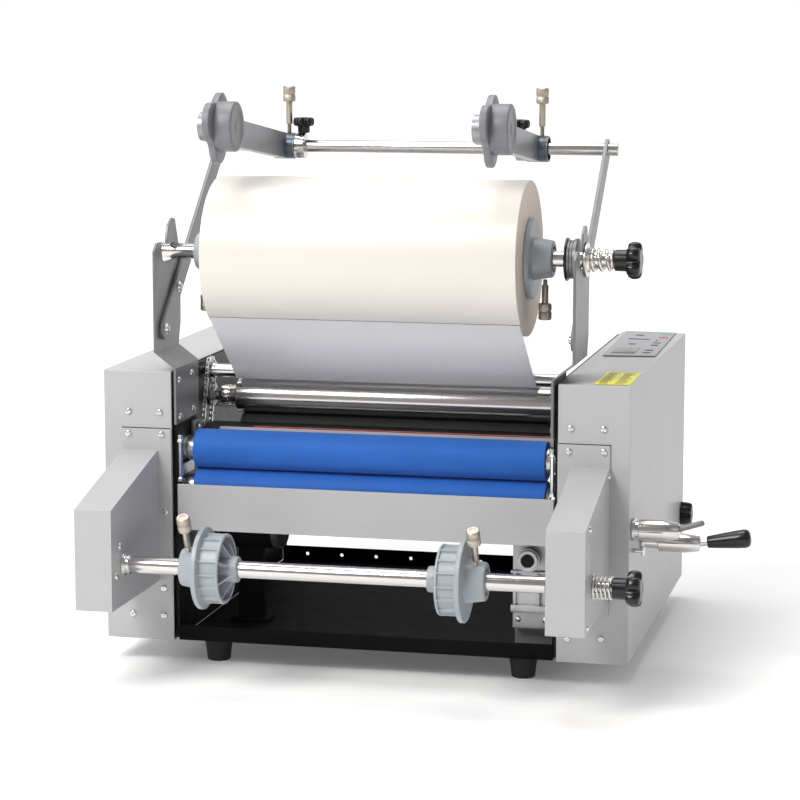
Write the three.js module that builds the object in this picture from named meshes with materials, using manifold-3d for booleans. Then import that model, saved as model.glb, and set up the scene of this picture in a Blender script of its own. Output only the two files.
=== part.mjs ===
// Desktop roll laminator: two sheet-metal housings carry the rollers, the film supply on top and
// the rewind shaft in front. Millimetres, +Z up. While it is modelled, x = 0 is the middle plane,
// y = 0 the front of the housings and z = 0 the table; the group is centred over its footprint last.
import * as THREE from 'three';
import { mergeVertices } from 'three/addons/utils/BufferGeometryUtils.js';
import Module from 'manifold-3d';

const wasm = await Module();
wasm.setup();

// ---- driving dimensions -------------------------------------------------------------------------
const GAP = 0.3;                 // play between pieces that touch
const SHAFT_PLAY = 0.4;          // radial play of a shaft in its bore
const CORE_BORE = 76;            // 3-inch film core
const FILM_WIDTH = 350;
const FILM_RADIUS = 84.9;

const INNER = 216.5;             // middle plane to the inner edge of a housing
const HOUSING_WIDTH = 78.3;
const HOUSING_DEPTH = 466.5;
const HOUSING_BOTTOM = 27;
const HOUSING_TOP = 331;
const SHEET = 1.6;
const PLATE = 3.7;               // side plates that carry the bearings
const PLATE_IN = INNER - GAP - PLATE;
const BAY = PLATE_IN - 0.6;      // half width of anything between the side plates
const OUTER = INNER + HOUSING_WIDTH;

const TRAY = { front: 4, back: 440, sheet: 2, frontTop: 43.8, backTop: 47.5 };
const FOOT = { x: 174.6, y: [34, 425], topRadius: 16, tipRadius: 13 };
const BEAM = { y: 4, bottom: 152.8, top: 204.4, sheet: 2, lip: 24 };

const SLEEVE = { radius: 21.67, bore: 14.3, left: -195.5, right: 201 };
const UPPER_PULL = { y: 30.2, z: 241.8 };
const LOWER_PULL = { y: 30.2, z: 198.1 };
const PULL_SHAFT = { body: 14, stub: 7 };
const LIFT = 5;                  // how far the upper pull roller opens
const HEAT = { y: 132, z: 287.3, radius: 19.5, collar: 11.5, stub: 7 };
const RUBBER = { y: 132, z: 247.4, radius: 20, shaft: 9, stub: 7 };
const DROP = 4;                  // how far the rubber roller opens
const GUIDE = { y: 115, z: 317.6, radius: 7.5, stub: 5 };
const DRIVE = { y: 76, z: 190, radius: 6 };
const CHAIN = { x: -205.8, half: 2.4, radius: 11, inner: 12.2, outer: 16 };
const STUB_END = INNER + 2;

const SUPPLY = { y: 60.7, z: 458.9, radius: 8.7 };
const BRACKET = { out: 232, sheet: 3, low: 272, bend: 335, knee: 352, top: 472 };
const ROD = { y: 240, z: 567.5, radius: 7.2, half: 243 };
const ROD_ARM = { width: 24, sheet: 4, y: 20, z: 376 };
const TAKEUP = { inner: 131, drum: 20, flange: 8, drumRadius: 27, lobe: 41, reach: 262, rise: 34.5 };
const TAKEUP_BAR = 31;           // height of the swinging arms
const HUB = { radius: 15, length: 25, start: 137.5, screw: 8 };
const TAKEUP_PITCH = 2 * HUB.start + HUB.length; // from one take-up unit to the other
const COLLAR = { gap: 0.4, length: 12, radius: 15 };

const WINDER = { y: -121.6, z: 139, radius: 9.06 };
const ARM = { inner: 232.3, outer: 273.4, front: -161.7, bottom: 94.6, nose: 204, top: 243.2 };
const FLANGE = { inner: 216.8, outer: 273.4, bottom: 80, top: 266.5, sheet: 2 };

const FRONT_LEVER = { y: 20, z: 173 };
const REAR_LEVER = { y: 95, z: 145 };
const SIDE_KNOB = { y: 448, z: 109 };

// ---- materials ----------------------------------------------------------------------------------
const paint = (color, roughness, metalness) =>
  new THREE.MeshStandardMaterial({ color, roughness, metalness });
const LOOK = {
  housing: paint(0xcbcdd0, 0.45, 0.1),
  bracket: paint(0x7d8084, 0.45, 0.3),
  tray: paint(0x17181a, 0.5, 0.2),
  steel: paint(0xc9cacc, 0.25, 1),
  chrome: paint(0xe6e7e9, 0.08, 1),
  nickel: paint(0xcdbeae, 0.3, 1),
  silicone: paint(0x1f5fc4, 0.65, 0),
  rubber: paint(0x1b1b1c, 0.85, 0),
  black: paint(0x121214, 0.35, 0),
  chuck: paint(0x9aaab4, 0.4, 0),
  plug: paint(0x6f757d, 0.45, 0),
  hub: paint(0x4f6272, 0.35, 0.2),
  film: paint(0xf2eee6, 0.3, 0),
  cast: paint(0xb4b6b8, 0.5, 0.8),
  motor: paint(0x5a4f48, 0.5, 0.5),
};

// ---- solids -------------------------------------------------------------------------------------
// A closed geometry as a manifold solid, turned outside out when its faces point in.
function solid(geometry) {
  const bare = geometry.clone();
  bare.deleteAttribute('normal');
  bare.deleteAttribute('uv');
  const merged = mergeVertices(bare, 1e-4);
  const points = merged.attributes.position.array;
  const index = Uint32Array.from(merged.index.array);
  const [a, b, c] = [new THREE.Vector3(), new THREE.Vector3(), new THREE.Vector3()];
  let volume = 0;
  for (let i = 0; i < index.length; i += 3) {
    a.fromArray(points, 3 * index[i]);
    b.fromArray(points, 3 * index[i + 1]);
    c.fromArray(points, 3 * index[i + 2]);
    volume += a.dot(b.cross(c));
  }
  if (volume < 0) {
    for (let i = 0; i < index.length; i += 3) {
      [index[i + 1], index[i + 2]] = [index[i + 2], index[i + 1]];
    }
  }
  return new wasm.Manifold(new wasm.Mesh({ numProp: 3, vertProperties: points, triVerts: index }));
}

const join = (first, ...others) => others.reduce((sum, piece) => sum.add(piece), first);
const cut = (first, ...others) => others.reduce((rest, piece) => rest.subtract(piece), first);

// A box given by its two ends along each axis, in either order.
function box([x0, x1], [y0, y1], [z0, z1]) {
  const size = [x1 - x0, y1 - y0, z1 - z0].map(Math.abs);
  const geometry = new THREE.BoxGeometry(...size);
  return solid(geometry.translate((x0 + x1) / 2, (y0 + y1) / 2, (z0 + z1) / 2));
}

// A shape drawn in the (y, z) plane and made solid from x0 to x1.
const TO_YZ = new THREE.Matrix4().makeBasis(
  new THREE.Vector3(0, 1, 0), new THREE.Vector3(0, 0, 1), new THREE.Vector3(1, 0, 0));
function sideProfile(shape, x0, x1, curveSegments = 12) {
  const depth = Math.abs(x1 - x0);
  const geometry = new THREE.ExtrudeGeometry(shape, { depth, bevelEnabled: false, curveSegments });
  return solid(geometry.applyMatrix4(TO_YZ).translate(Math.min(x0, x1), 0, 0));
}

function outline(points) {
  return new THREE.Shape(points.map(([y, z]) => new THREE.Vector2(y, z)));
}

function addHole(shape, y, z, radius) {
  const hole = new THREE.Path();
  hole.absarc(y, z, radius, 0, 2 * Math.PI);
  shape.holes.push(hole);
}

// A turned piece along X: the profile is a list of [x, radius]; it closes on the axis, or on a bore.
function turned(profile, { y = 0, z = 0, bore = 0, sides = 24 } = {}) {
  const points = profile.map(([x, radius]) => new THREE.Vector2(radius, x));
  const first = points[0];
  const last = points[points.length - 1];
  points.unshift(new THREE.Vector2(bore, first.y));
  points.push(new THREE.Vector2(bore, last.y));
  if (bore > 0) points.push(new THREE.Vector2(bore, first.y));
  const geometry = new THREE.LatheGeometry(points, sides).rotateZ(-Math.PI / 2);
  return solid(geometry.translate(0, y, z));
}

// A knob with round lobes, as a plate from x0 to x1 around the X axis.
function lobes(count, radius, lobe, x0, x1) {
  const shape = new THREE.Shape();
  const steps = count * 6;
  for (let i = 0; i < steps; i++) {
    const turn = (2 * Math.PI * i) / steps;
    const r = radius - lobe * (0.5 - 0.5 * Math.cos(count * turn)) ** 1.5;
    const point = [r * Math.cos(turn), r * Math.sin(turn)];
    if (i === 0) shape.moveTo(...point);
    else shape.lineTo(...point);
  }
  return sideProfile(shape, x0, x1);
}

// ---- scene graph --------------------------------------------------------------------------------
const laminator = new THREE.Group();

function place(name, manifold, material, parent = laminator) {
  const { vertProperties, triVerts } = manifold.getMesh();
  const geometry = new THREE.BufferGeometry();
  geometry.setAttribute('position', new THREE.Float32BufferAttribute(vertProperties, 3));
  geometry.setIndex(new THREE.Uint32BufferAttribute(triVerts, 1));
  geometry.computeVertexNormals();
  const mesh = new THREE.Mesh(geometry, material);
  mesh.name = name;
  parent.add(mesh);
  return mesh;
}

const SIDES = [['left', -1], ['right', 1]];

// ---- frame --------------------------------------------------------------------------------------
function baseTray() {
  const { front, back, sheet, frontTop, backTop } = TRAY;
  const floor = HOUSING_BOTTOM + sheet;
  const profile = outline([
    [front, HOUSING_BOTTOM], [back, HOUSING_BOTTOM], [back, backTop], [back - sheet, backTop],
    [back - sheet, floor], [front + sheet, floor], [front + sheet, frontTop], [front, frontTop],
  ]);
  const holes = [];
  for (let x = -180; x <= 180; x += 45) {
    const pin = new THREE.CylinderGeometry(2.4, 2.4, 10, 12);
    holes.push(solid(pin.translate(x, back, HOUSING_BOTTOM + 11)));
  }
  return cut(sideProfile(profile, -BAY, BAY), ...holes);
}

function foot() {
  const top = HOUSING_BOTTOM - GAP;
  const profile = [[0, 0], [FOOT.tipRadius, 0], [FOOT.topRadius, top], [0, top]];
  return solid(new THREE.LatheGeometry(profile.map((p) => new THREE.Vector2(...p)), 28)
    .rotateX(Math.PI / 2));
}

// A housing is a deep sheet box, open on the inner side where the side plate closes it.
function housing(side) {
  const shell = box([side * INNER, side * OUTER], [0, HOUSING_DEPTH], [HOUSING_BOTTOM, HOUSING_TOP]);
  const hollow = box([side * (INNER - 5), side * (OUTER - SHEET)], [SHEET, HOUSING_DEPTH - SHEET],
    [HOUSING_BOTTOM + SHEET, HOUSING_TOP - SHEET]);
  if (side < 0) return cut(shell, hollow);
  const levers = [FRONT_LEVER, REAR_LEVER].map(({ y, z }) =>
    turned([[OUTER - 5, 8], [OUTER + 5, 8]], { y, z, sides: 24 }));
  const knob = turned([[OUTER - 5, 4.5], [OUTER + 5, 4.5]], { ...SIDE_KNOB, sides: 16 });
  const inlet = box([242, 270], [HOUSING_DEPTH - 5, HOUSING_DEPTH + 5], [60, 80]);
  const rocker = box([249, 263], [HOUSING_DEPTH - 5, HOUSING_DEPTH + 5], [92, 112]);
  return cut(shell, hollow, ...levers, knob, inlet, rocker);
}

// Side plate with a bore for each roller; the two bores of the opening rollers are slots.
function sidePlate(side) {
  const bottom = HOUSING_BOTTOM + SHEET + GAP;
  const top = HOUSING_TOP - SHEET - GAP;
  const shape = outline([[8, bottom], [458, bottom], [458, top], [8, top]]);
  addHole(shape, LOWER_PULL.y, LOWER_PULL.z, PULL_SHAFT.stub + SHAFT_PLAY);
  addHole(shape, HEAT.y, HEAT.z, HEAT.stub + SHAFT_PLAY);
  addHole(shape, GUIDE.y, GUIDE.z, GUIDE.stub + SHAFT_PLAY);
  addHole(shape, DRIVE.y, DRIVE.z, DRIVE.radius + SHAFT_PLAY);
  addSlot(shape, UPPER_PULL, PULL_SHAFT.stub + SHAFT_PLAY, 0, LIFT);
  addSlot(shape, RUBBER, RUBBER.stub + SHAFT_PLAY, -DROP, 0);
  return sideProfile(shape, side * PLATE_IN, side * (PLATE_IN + PLATE), 8);
}

function addSlot(shape, { y, z }, radius, down, up) {
  const slot = new THREE.Path();
  slot.absarc(y, z + up, radius, 0, Math.PI);
  slot.absarc(y, z + down, radius, Math.PI, 2 * Math.PI);
  slot.closePath();
  shape.holes.push(slot);
}

function frontBeam() {
  const { y, bottom, top, sheet, lip } = BEAM;
  return sideProfile(outline([
    [y, bottom], [y + lip, bottom], [y + lip, bottom + sheet], [y + sheet, bottom + sheet],
    [y + sheet, top], [y, top],
  ]), -BAY, BAY);
}

function nipCover() {
  const [front, back, top, sheet, drop] = [56, 103, 261, 2, 20];
  const shape = outline([
    [front, top - drop], [front + sheet, top - drop], [front + sheet, top - sheet],
    [back, top - sheet], [back, top], [front, top],
  ]);
  return sideProfile(shape, CHAIN.x + CHAIN.half + 4, BAY);
}

function feedTable() {
  const [front, back, top, sheet, drop] = [160, 445, 271, 2, 28];
  const shape = outline([
    [front, top - sheet], [back - sheet, top - sheet], [back - sheet, top - drop],
    [back, top - drop], [back, top], [front, top],
  ]);
  return sideProfile(shape, -BAY, BAY);
}

// ---- film supply --------------------------------------------------------------------------------
// The bracket is one plate: bolted inside the side plate, then cranked outward to the shaft slot.
function rollBracket(side) {
  const inside = PLATE_IN - GAP;
  const { out, sheet, low, bend, knee, top } = BRACKET;
  const front = -4;
  const lower = sideProfile(outline([[front, low], [78, low + 2], [78, bend], [front, bend]]),
    side * (inside - sheet), side * inside);
  const crank = new THREE.Shape([
    [inside - sheet, bend], [inside, bend], [out + sheet, knee], [out, knee],
  ].map(([x, z]) => new THREE.Vector2(side * x, z)));
  const bendGeometry = new THREE.ExtrudeGeometry(crank, { depth: 82, bevelEnabled: false });
  const middle = solid(bendGeometry.rotateX(Math.PI / 2).translate(0, 78, 0));
  const upper = sideProfile(slottedPlate(front, knee, top), side * out, side * (out + sheet), 8);
  return join(lower, middle, upper);
}

// Upper plate with a hooked slot: the shaft drops in from the top and rests under the rear horn.
function slottedPlate(front, knee, top) {
  const r = SUPPLY.radius + 0.6;
  const mouth = 22;
  const shape = new THREE.Shape();
  shape.moveTo(front, knee);
  shape.lineTo(78, knee);
  shape.lineTo(86, knee + 24);
  shape.lineTo(88, 452);
  shape.lineTo(80, 470);
  shape.lineTo(70, 494);
  shape.lineTo(60, 496);
  shape.lineTo(46, 488);
  shape.lineTo(mouth + 2 * r, SUPPLY.z + r + 6);
  shape.lineTo(mouth + 2 * r, SUPPLY.z + r);
  shape.lineTo(SUPPLY.y, SUPPLY.z + r);
  shape.absarc(SUPPLY.y, SUPPLY.z, r, Math.PI / 2, -Math.PI / 2, true);
  shape.lineTo(mouth + r, SUPPLY.z - r);
  shape.absarc(mouth + r, SUPPLY.z, r, -Math.PI / 2, -Math.PI, true);
  shape.lineTo(mouth, top);
  shape.lineTo(6, top);
  shape.lineTo(front, top - 8);
  shape.closePath();
  return shape;
}

// Straight flat bar from the bracket up and back to the top rod, with round ends.
function rodArm(side) {
  const run = Math.atan2(ROD.z - ROD_ARM.z, ROD.y - ROD_ARM.y);
  const half = ROD_ARM.width / 2;
  const shape = new THREE.Shape();
  shape.absarc(ROD.y, ROD.z, half, run - Math.PI / 2, run + Math.PI / 2);
  shape.absarc(ROD_ARM.y, ROD_ARM.z, half, run + Math.PI / 2, run + (3 * Math.PI) / 2);
  shape.closePath();
  addHole(shape, ROD.y, ROD.z, ROD.radius + GAP);
  const outside = side * (BRACKET.out - GAP);
  return sideProfile(shape, outside - side * ROD_ARM.sheet, outside, 10);
}

// The rod carries two set collars that stop the take-up arms from sliding inward.
function topRod() {
  const { gap, length, radius } = COLLAR;
  const outer = HUB.start - gap;
  const inner = outer - length;
  return turned([
    [-ROD.half, ROD.radius], [-outer, ROD.radius], [-outer, radius], [-inner, radius],
    [-inner, ROD.radius], [inner, ROD.radius], [inner, radius], [outer, radius],
    [outer, ROD.radius], [ROD.half, ROD.radius],
  ], { y: ROD.y, z: ROD.z, sides: 22 });
}

// Take-up arm as it hangs on the left: a clamp hub on the rod, a tapered arm leaning outward and
// the spindle of the plug.
function takeupArm() {
  const side = -1;
  const inner = HUB.start;
  const plugOut = TAKEUP.inner + TAKEUP.drum + TAKEUP.flange;
  const hub = turned([[side * inner, HUB.radius], [side * (inner + HUB.length), HUB.radius]],
    { y: ROD.y, z: ROD.z, sides: 22 });
  const tip = { y: ROD.y - TAKEUP.reach, z: ROD.z + TAKEUP.rise };
  const lean = Math.atan2(TAKEUP.rise, -TAKEUP.reach);
  const half = TAKEUP_BAR / 2;
  const shape = new THREE.Shape();
  shape.absarc(tip.y, tip.z, half, lean - Math.PI / 2, lean + Math.PI / 2);
  shape.absarc(ROD.y, ROD.z, HUB.radius - 0.5, lean + Math.PI / 2, lean + (3 * Math.PI) / 2);
  shape.closePath();
  const start = side * (inner + 10);
  const bar = sideProfile(shape, start, start + side * 11, 10);
  const shift = (side * (plugOut + 1 - inner - 10)) / TAKEUP.reach;
  const leaning = bar.warp((point) => {
    point[0] += shift * (ROD.y - point[1]);
  });
  const spindle = turned([[side * (TAKEUP.inner + 1), 5], [side * (plugOut + 6), 5]],
    { ...tip, sides: 16 });
  const washer = turned([[side * (plugOut + GAP), 9], [side * (plugOut + 6), 9]],
    { ...tip, sides: 16 });
  const clear = turned([[side * TAKEUP.inner, TAKEUP.lobe + 2],
    [side * (plugOut + GAP), TAKEUP.lobe + 2]], { ...tip, sides: 24 });
  const bore = turned([[side * (inner - 5), ROD.radius + SHAFT_PLAY],
    [side * (inner + HUB.length + 5), ROD.radius + SHAFT_PLAY]], { y: ROD.y, z: ROD.z, sides: 22 });
  return cut(join(cut(leaning, clear), hub, spindle, washer), bore);
}

const LOBE_PHASE = -45;          // degrees; turns one lobe to hang almost straight down

// Core plug: a drum that enters the liner core and a three-lobed flange that stops it.
function corePlug() {
  const side = -1;
  const { inner, drum, flange, drumRadius } = TAKEUP;
  const body = turned([[side * inner, drumRadius - 2], [side * (inner + 2), drumRadius],
    [side * (inner + drum + 1), drumRadius]], { sides: 36 });
  const ring = lobes(3, TAKEUP.lobe, 14, side * (inner + drum), side * (inner + drum + flange))
    .rotate([LOBE_PHASE, 0, 0]);
  const bore = turned([[side * (inner - 2), 5.4], [side * (inner + drum + flange + 2), 5.4]],
    { sides: 16 });
  return cut(join(body, ring), bore);
}

// Thumb screw standing on +Z from the origin: thin tip, shank and knurled head.
function thumbScrew(tip, shank, head) {
  const profile = [
    [0, 0], [2.6, 0], [2.6, tip], [3.75, tip + 1], [3.75, tip + shank], [5.6, tip + shank],
    [7.25, tip + shank + 1.5], [7.25, tip + shank + head - 1], [6.4, tip + shank + head],
    [0, tip + shank + head],
  ];
  return solid(new THREE.LatheGeometry(profile.map((p) => new THREE.Vector2(...p)), 14)
    .rotateX(Math.PI / 2));
}

// A chuck for the 3-inch core, from its nose at x = 0 to the end of its clamp hub.
const CHUCK = { nose: 13, drum: 36, lip: 41, hub: 62, hubRadius: 20, ribs: 8 };
function chuck(shaftRadius) {
  const drumRadius = CORE_BORE / 2 - GAP;
  const body = turned([
    [0, 14], [CHUCK.nose, 14], [CHUCK.nose, drumRadius - 1.5], [CHUCK.nose + 2, drumRadius],
    [CHUCK.drum, drumRadius], [CHUCK.drum, 44], [CHUCK.lip, 44], [CHUCK.lip, CHUCK.hubRadius + 3],
    [CHUCK.hub, CHUCK.hubRadius],
  ], { bore: shaftRadius + SHAFT_PLAY, sides: 22 });
  const pockets = [];
  for (let i = 0; i < CHUCK.ribs; i++) {
    const pocket = new THREE.BoxGeometry(30, 9, 13);
    pocket.translate(CHUCK.drum - 9 - 15, 0, 30);
    pockets.push(solid(pocket.rotateX((2 * Math.PI * i) / CHUCK.ribs)));
  }
  return cut(body, ...pockets);
}

// Star knob along X: a hub, then the lobed grip, with a blind bore on the side facing the shaft.
function starKnob(hubLength, hubRadius, gripLength, gripRadius, bore) {
  const hub = turned([[0, hubRadius - 1], [1, hubRadius], [hubLength + 1, hubRadius]], { sides: 22 });
  const grip = lobes(6, gripRadius, gripRadius * 0.24, hubLength, hubLength + gripLength);
  const hole = turned([[-2, bore], [hubLength + gripLength * 0.4, bore]], { sides: 16 });
  return cut(join(hub, grip), hole);
}

// Film on its roll, with the bore that sits on the two chucks' drums.
function filmRoll() {
  return turned([[-FILM_WIDTH / 2 - 1, FILM_RADIUS], [FILM_WIDTH / 2 - 1, FILM_RADIUS]],
    { ...SUPPLY, bore: CORE_BORE / 2 + GAP, sides: 60 });
}

// The film leaves the roll low in front, runs over the guide bar, behind the heated roller and
// down to the nip. It lies a little off each of them.
function filmWeb() {
  const thickness = 0.8;
  const off = GAP + 0.1 + thickness / 2;
  const roll = { center: new THREE.Vector2(SUPPLY.y, SUPPLY.z), radius: FILM_RADIUS + off };
  const bar = { center: new THREE.Vector2(GUIDE.y, GUIDE.z), radius: GUIDE.radius + off };
  const hot = { center: new THREE.Vector2(HEAT.y, HEAT.z), radius: HEAT.radius + off };
  const toBar = bar.center.clone().sub(roll.center);
  const toHot = hot.center.clone().sub(bar.center);
  // off the front of the roll, past the front of the bar, then over the back of the hot roller
  const offRoll = toBar.angle() - Math.acos((roll.radius - bar.radius) / toBar.length());
  const offBar = toHot.angle() - Math.acos((bar.radius + hot.radius) / toHot.length());
  const nip = 2 * Math.PI - 1.05;
  const path = [
    ...arc(roll, offRoll, offRoll, 0),
    ...arc(bar, offRoll, offBar, 2),
    ...arc(hot, offBar + Math.PI, nip, 12),
  ];
  return sideProfile(ribbon(path, thickness), -FILM_WIDTH / 2 + 1, FILM_WIDTH / 2 - 2);
}

// Points along a circle from one angle to the other, by the shorter way round.
function arc({ center, radius }, from, to, steps) {
  const full = 2 * Math.PI;
  const turn = ((((to - from) % full) + full + Math.PI) % full) - Math.PI;
  const points = [];
  for (let i = 0; i <= steps; i++) {
    const angle = from + (steps ? (turn * i) / steps : 0);
    points.push(new THREE.Vector2(
      center.x + radius * Math.cos(angle), center.y + radius * Math.sin(angle)));
  }
  return points;
}

// A polyline given a thickness, as a closed shape.
function ribbon(path, thickness) {
  const left = [];
  const right = [];
  path.forEach((point, i) => {
    const before = path[Math.max(i - 1, 0)];
    const after = path[Math.min(i + 1, path.length - 1)];
    const along = after.clone().sub(before).normalize().multiplyScalar(thickness / 2);
    left.push(new THREE.Vector2(point.x - along.y, point.y + along.x));
    right.unshift(new THREE.Vector2(point.x + along.y, point.y - along.x));
  });
  return new THREE.Shape([...left, ...right]);
}

// ---- rollers ------------------------------------------------------------------------------------
function pullSleeve(axis) {
  const { radius, bore, left, right } = SLEEVE;
  return turned([[left, radius - 0.8], [left + 0.8, radius], [right - 0.8, radius],
    [right, radius - 0.8]], { ...axis, bore, sides: 40 });
}

function pullShaft(axis) {
  const half = BAY - 6;
  const { body, stub } = PULL_SHAFT;
  return turned([[-STUB_END, stub], [-half, stub], [-half, body], [half, body],
    [half, stub], [STUB_END, stub]], { ...axis, sides: 22 });
}

function heatRoller() {
  const { radius, collar, stub } = HEAT;
  return turned([
    [-STUB_END, stub], [-198, stub], [-198, collar], [-188, collar], [-188, collar - 1.5],
    [-186, collar - 1.5], [-186, collar], [-177, collar], [-177, radius],
    [196, radius], [196, stub], [STUB_END, stub],
  ], { ...HEAT, sides: 30 });
}

// The pressure roller turns on its own shaft, which drops in two slots of the side plates.
function rubberRoller() {
  const { radius, shaft } = RUBBER;
  return turned([[-172, radius], [196, radius]], { ...RUBBER, bore: shaft + GAP, sides: 28 });
}

function rubberShaft() {
  const { shaft, stub } = RUBBER;
  return turned([[-STUB_END, stub], [-173, stub], [-173, shaft], [197, shaft], [197, stub],
    [STUB_END, stub]], { ...RUBBER, sides: 20 });
}

// A shaft with a sprocket for the drive chain near its left end.
function sprocketShaft(axis, body, stub, right) {
  const sprocket = CHAIN.radius;
  const [x0, x1] = [CHAIN.x - 1.2, CHAIN.x + 1.2];
  return turned([
    [-STUB_END, stub], [x0, stub], [x0, sprocket - 1], [x0 + 0.8, sprocket], [x1 - 0.8, sprocket],
    [x1, sprocket - 1], [x1, body + 1.5], [x1 + 5, body + 1.5], [x1 + 5, body],
    [right, body], [right, stub], [STUB_END, stub],
  ], { ...axis, sides: 20 });
}

// Closed roller chain round the two sprockets, as one loop.
function driveChain() {
  const run = Math.atan2(GUIDE.z - DRIVE.z, GUIDE.y - DRIVE.y);
  const loop = (path, radius) => {
    path.absarc(GUIDE.y, GUIDE.z, radius, run - Math.PI / 2, run + Math.PI / 2);
    path.absarc(DRIVE.y, DRIVE.z, radius, run + Math.PI / 2, run + (3 * Math.PI) / 2);
    path.closePath();
    return path;
  };
  const shape = loop(new THREE.Shape(), CHAIN.outer);
  shape.holes.push(loop(new THREE.Path(), CHAIN.inner));
  return sideProfile(shape, CHAIN.x - CHAIN.half, CHAIN.x + CHAIN.half, 12);
}

// ---- drive --------------------------------------------------------------------------------------
// Cast worm gearbox on the tray, with the output boss round the drive shaft and an inspection hub.
function gearbox() {
  const [x0, x1] = [159, 201];
  const floor = HOUSING_BOTTOM + TRAY.sheet + GAP;
  const shape = outline([
    [52, 50], [66, 50], [66, floor], [118, floor], [118, floor + 6], [104, floor + 14], [104, 150],
    [DRIVE.y + 20, DRIVE.z], [DRIVE.y + 10, DRIVE.z + 18], [DRIVE.y - 10, DRIVE.z + 18],
    [DRIVE.y - 20, DRIVE.z], [52, 150],
  ]);
  const body = sideProfile(shape, x0, x1);
  const [bossX, bossZ] = [178, 129];
  const boss = new THREE.CylinderGeometry(12, 13, 14, 32).translate(bossX, 46, bossZ);
  const recess = new THREE.CylinderGeometry(5, 5, 12, 20).translate(bossX, 40, bossZ);
  const bore = turned([[x0 - 5, DRIVE.radius + SHAFT_PLAY], [x1 + 5, DRIVE.radius + SHAFT_PLAY]],
    { ...DRIVE, sides: 24 });
  return cut(join(body, solid(boss)), solid(recess), bore);
}

// Round motor lying across the machine under the rollers, on a foot with an upright web.
function motor() {
  const [x0, x1, y, z, radius] = [-196, -118, 110, 144, 30];
  const body = turned([[x0, 8], [x0 + 4, 8], [x0 + 4, radius - 2], [x0 + 6, radius],
    [x1 - 4, radius], [x1, radius - 3]], { y, z, sides: 22 });
  const floor = HOUSING_BOTTOM + TRAY.sheet + GAP;
  const base = box([x0 + 16, x1 - 16], [y - 14, y + 14], [floor, floor + 4]);
  const web = box([x0 + 24, x1 - 24], [y - 5, y + 5], [floor, z - 10]);
  return join(body, base, web);
}

// ---- rewind -------------------------------------------------------------------------------------
// Winder arm: a folded sheet box that tapers toward the front, with a bolting flange behind it.
function winderArm(side) {
  const { inner, outer, front, bottom, nose, top } = ARM;
  const back = -GAP;
  const wall = SHEET;
  const skin = sideProfile(outline([[front, bottom], [back, bottom], [back, top], [front, nose]]),
    side * inner, side * outer);
  const hollow = sideProfile(outline([
    [front + wall, bottom + wall], [back + 5, bottom + wall], [back + 5, top - wall],
    [back, top - wall], [front + wall, nose - wall],
  ]), side * (inner + wall), side * (outer - wall));
  const flange = box([side * FLANGE.inner, side * FLANGE.outer],
    [back - FLANGE.sheet, back], [FLANGE.bottom, FLANGE.top]);
  const far = side < 0 ? outer - wall - 4 : outer + 5;
  const bore = turned([[side * (inner - 5), WINDER.radius + SHAFT_PLAY],
    [side * far, WINDER.radius + SHAFT_PLAY]], { y: WINDER.y, z: WINDER.z, sides: 22 });
  return cut(join(cut(skin, hollow), cut(flange, hollow)), bore);
}

// ---- controls -----------------------------------------------------------------------------------
// Levers turn about X. Each has a boss in the housing, a turned chrome neck and a rod leaning up.
function lever(neck, lean, rodRadius, rodLength, grip) {
  const inside = OUTER - 12;
  const axisPart = turned([
    [inside, 6.5], [OUTER + GAP, 6.5], [OUTER + GAP, neck.collar], [OUTER + 4, neck.collar],
    [OUTER + 4, neck.thin], [neck.start, neck.thin], [neck.start, neck.wide],
    [neck.end - 3, neck.narrow], [neck.end, neck.narrow - 2],
  ], { sides: 22 });
  const rod = [[0, 0], [rodRadius, 0], [rodRadius, rodLength]];
  if (grip) {
    rod.push([6, rodLength], [8, rodLength + 5], [10.5, rodLength + grip * 0.45]);
    rod.push([10.5, rodLength + grip * 0.75], [7, rodLength + grip - 1], [0, rodLength + grip]);
  } else {
    rod.push([0, rodLength]);
  }
  const arm = new THREE.LatheGeometry(rod.map((p) => new THREE.Vector2(...p)), 24);
  arm.rotateZ(-Math.PI / 2 + lean).translate(neck.end - 8, 0, 0);
  // the lean is in the (x, z) plane: the arm was made in (x, y), so it turns up about X
  arm.rotateX(Math.PI / 2);
  return join(axisPart, solid(arm));
}

function controlPanel() {
  const shape = new THREE.Shape();
  shape.moveTo(228, 232);
  shape.lineTo(288, 240);
  shape.lineTo(284, 460);
  shape.lineTo(222, 462);
  shape.closePath();
  const plate = new THREE.ExtrudeGeometry(shape, { depth: 1.2, bevelEnabled: false });
  return solid(plate.translate(0, 0, HOUSING_TOP + GAP));
}

function powerInlet() {
  const body = box([242.5, 269.5], [HOUSING_DEPTH - 12, HOUSING_DEPTH + 0.5], [60.5, 79.5]);
  const face = box([239, 273], [HOUSING_DEPTH + GAP, HOUSING_DEPTH + 2.5], [57, 83]);
  const socket = box([245, 267], [HOUSING_DEPTH - 9, HOUSING_DEPTH + 5], [63, 77]);
  return cut(join(body, face), socket);
}

function powerSwitch() {
  const shape = outline([[-9, -6], [2, -9.3], [4, 0], [2, 9.3], [-9, 6]]);
  return sideProfile(shape, -6.3, 6.3);
}

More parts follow.
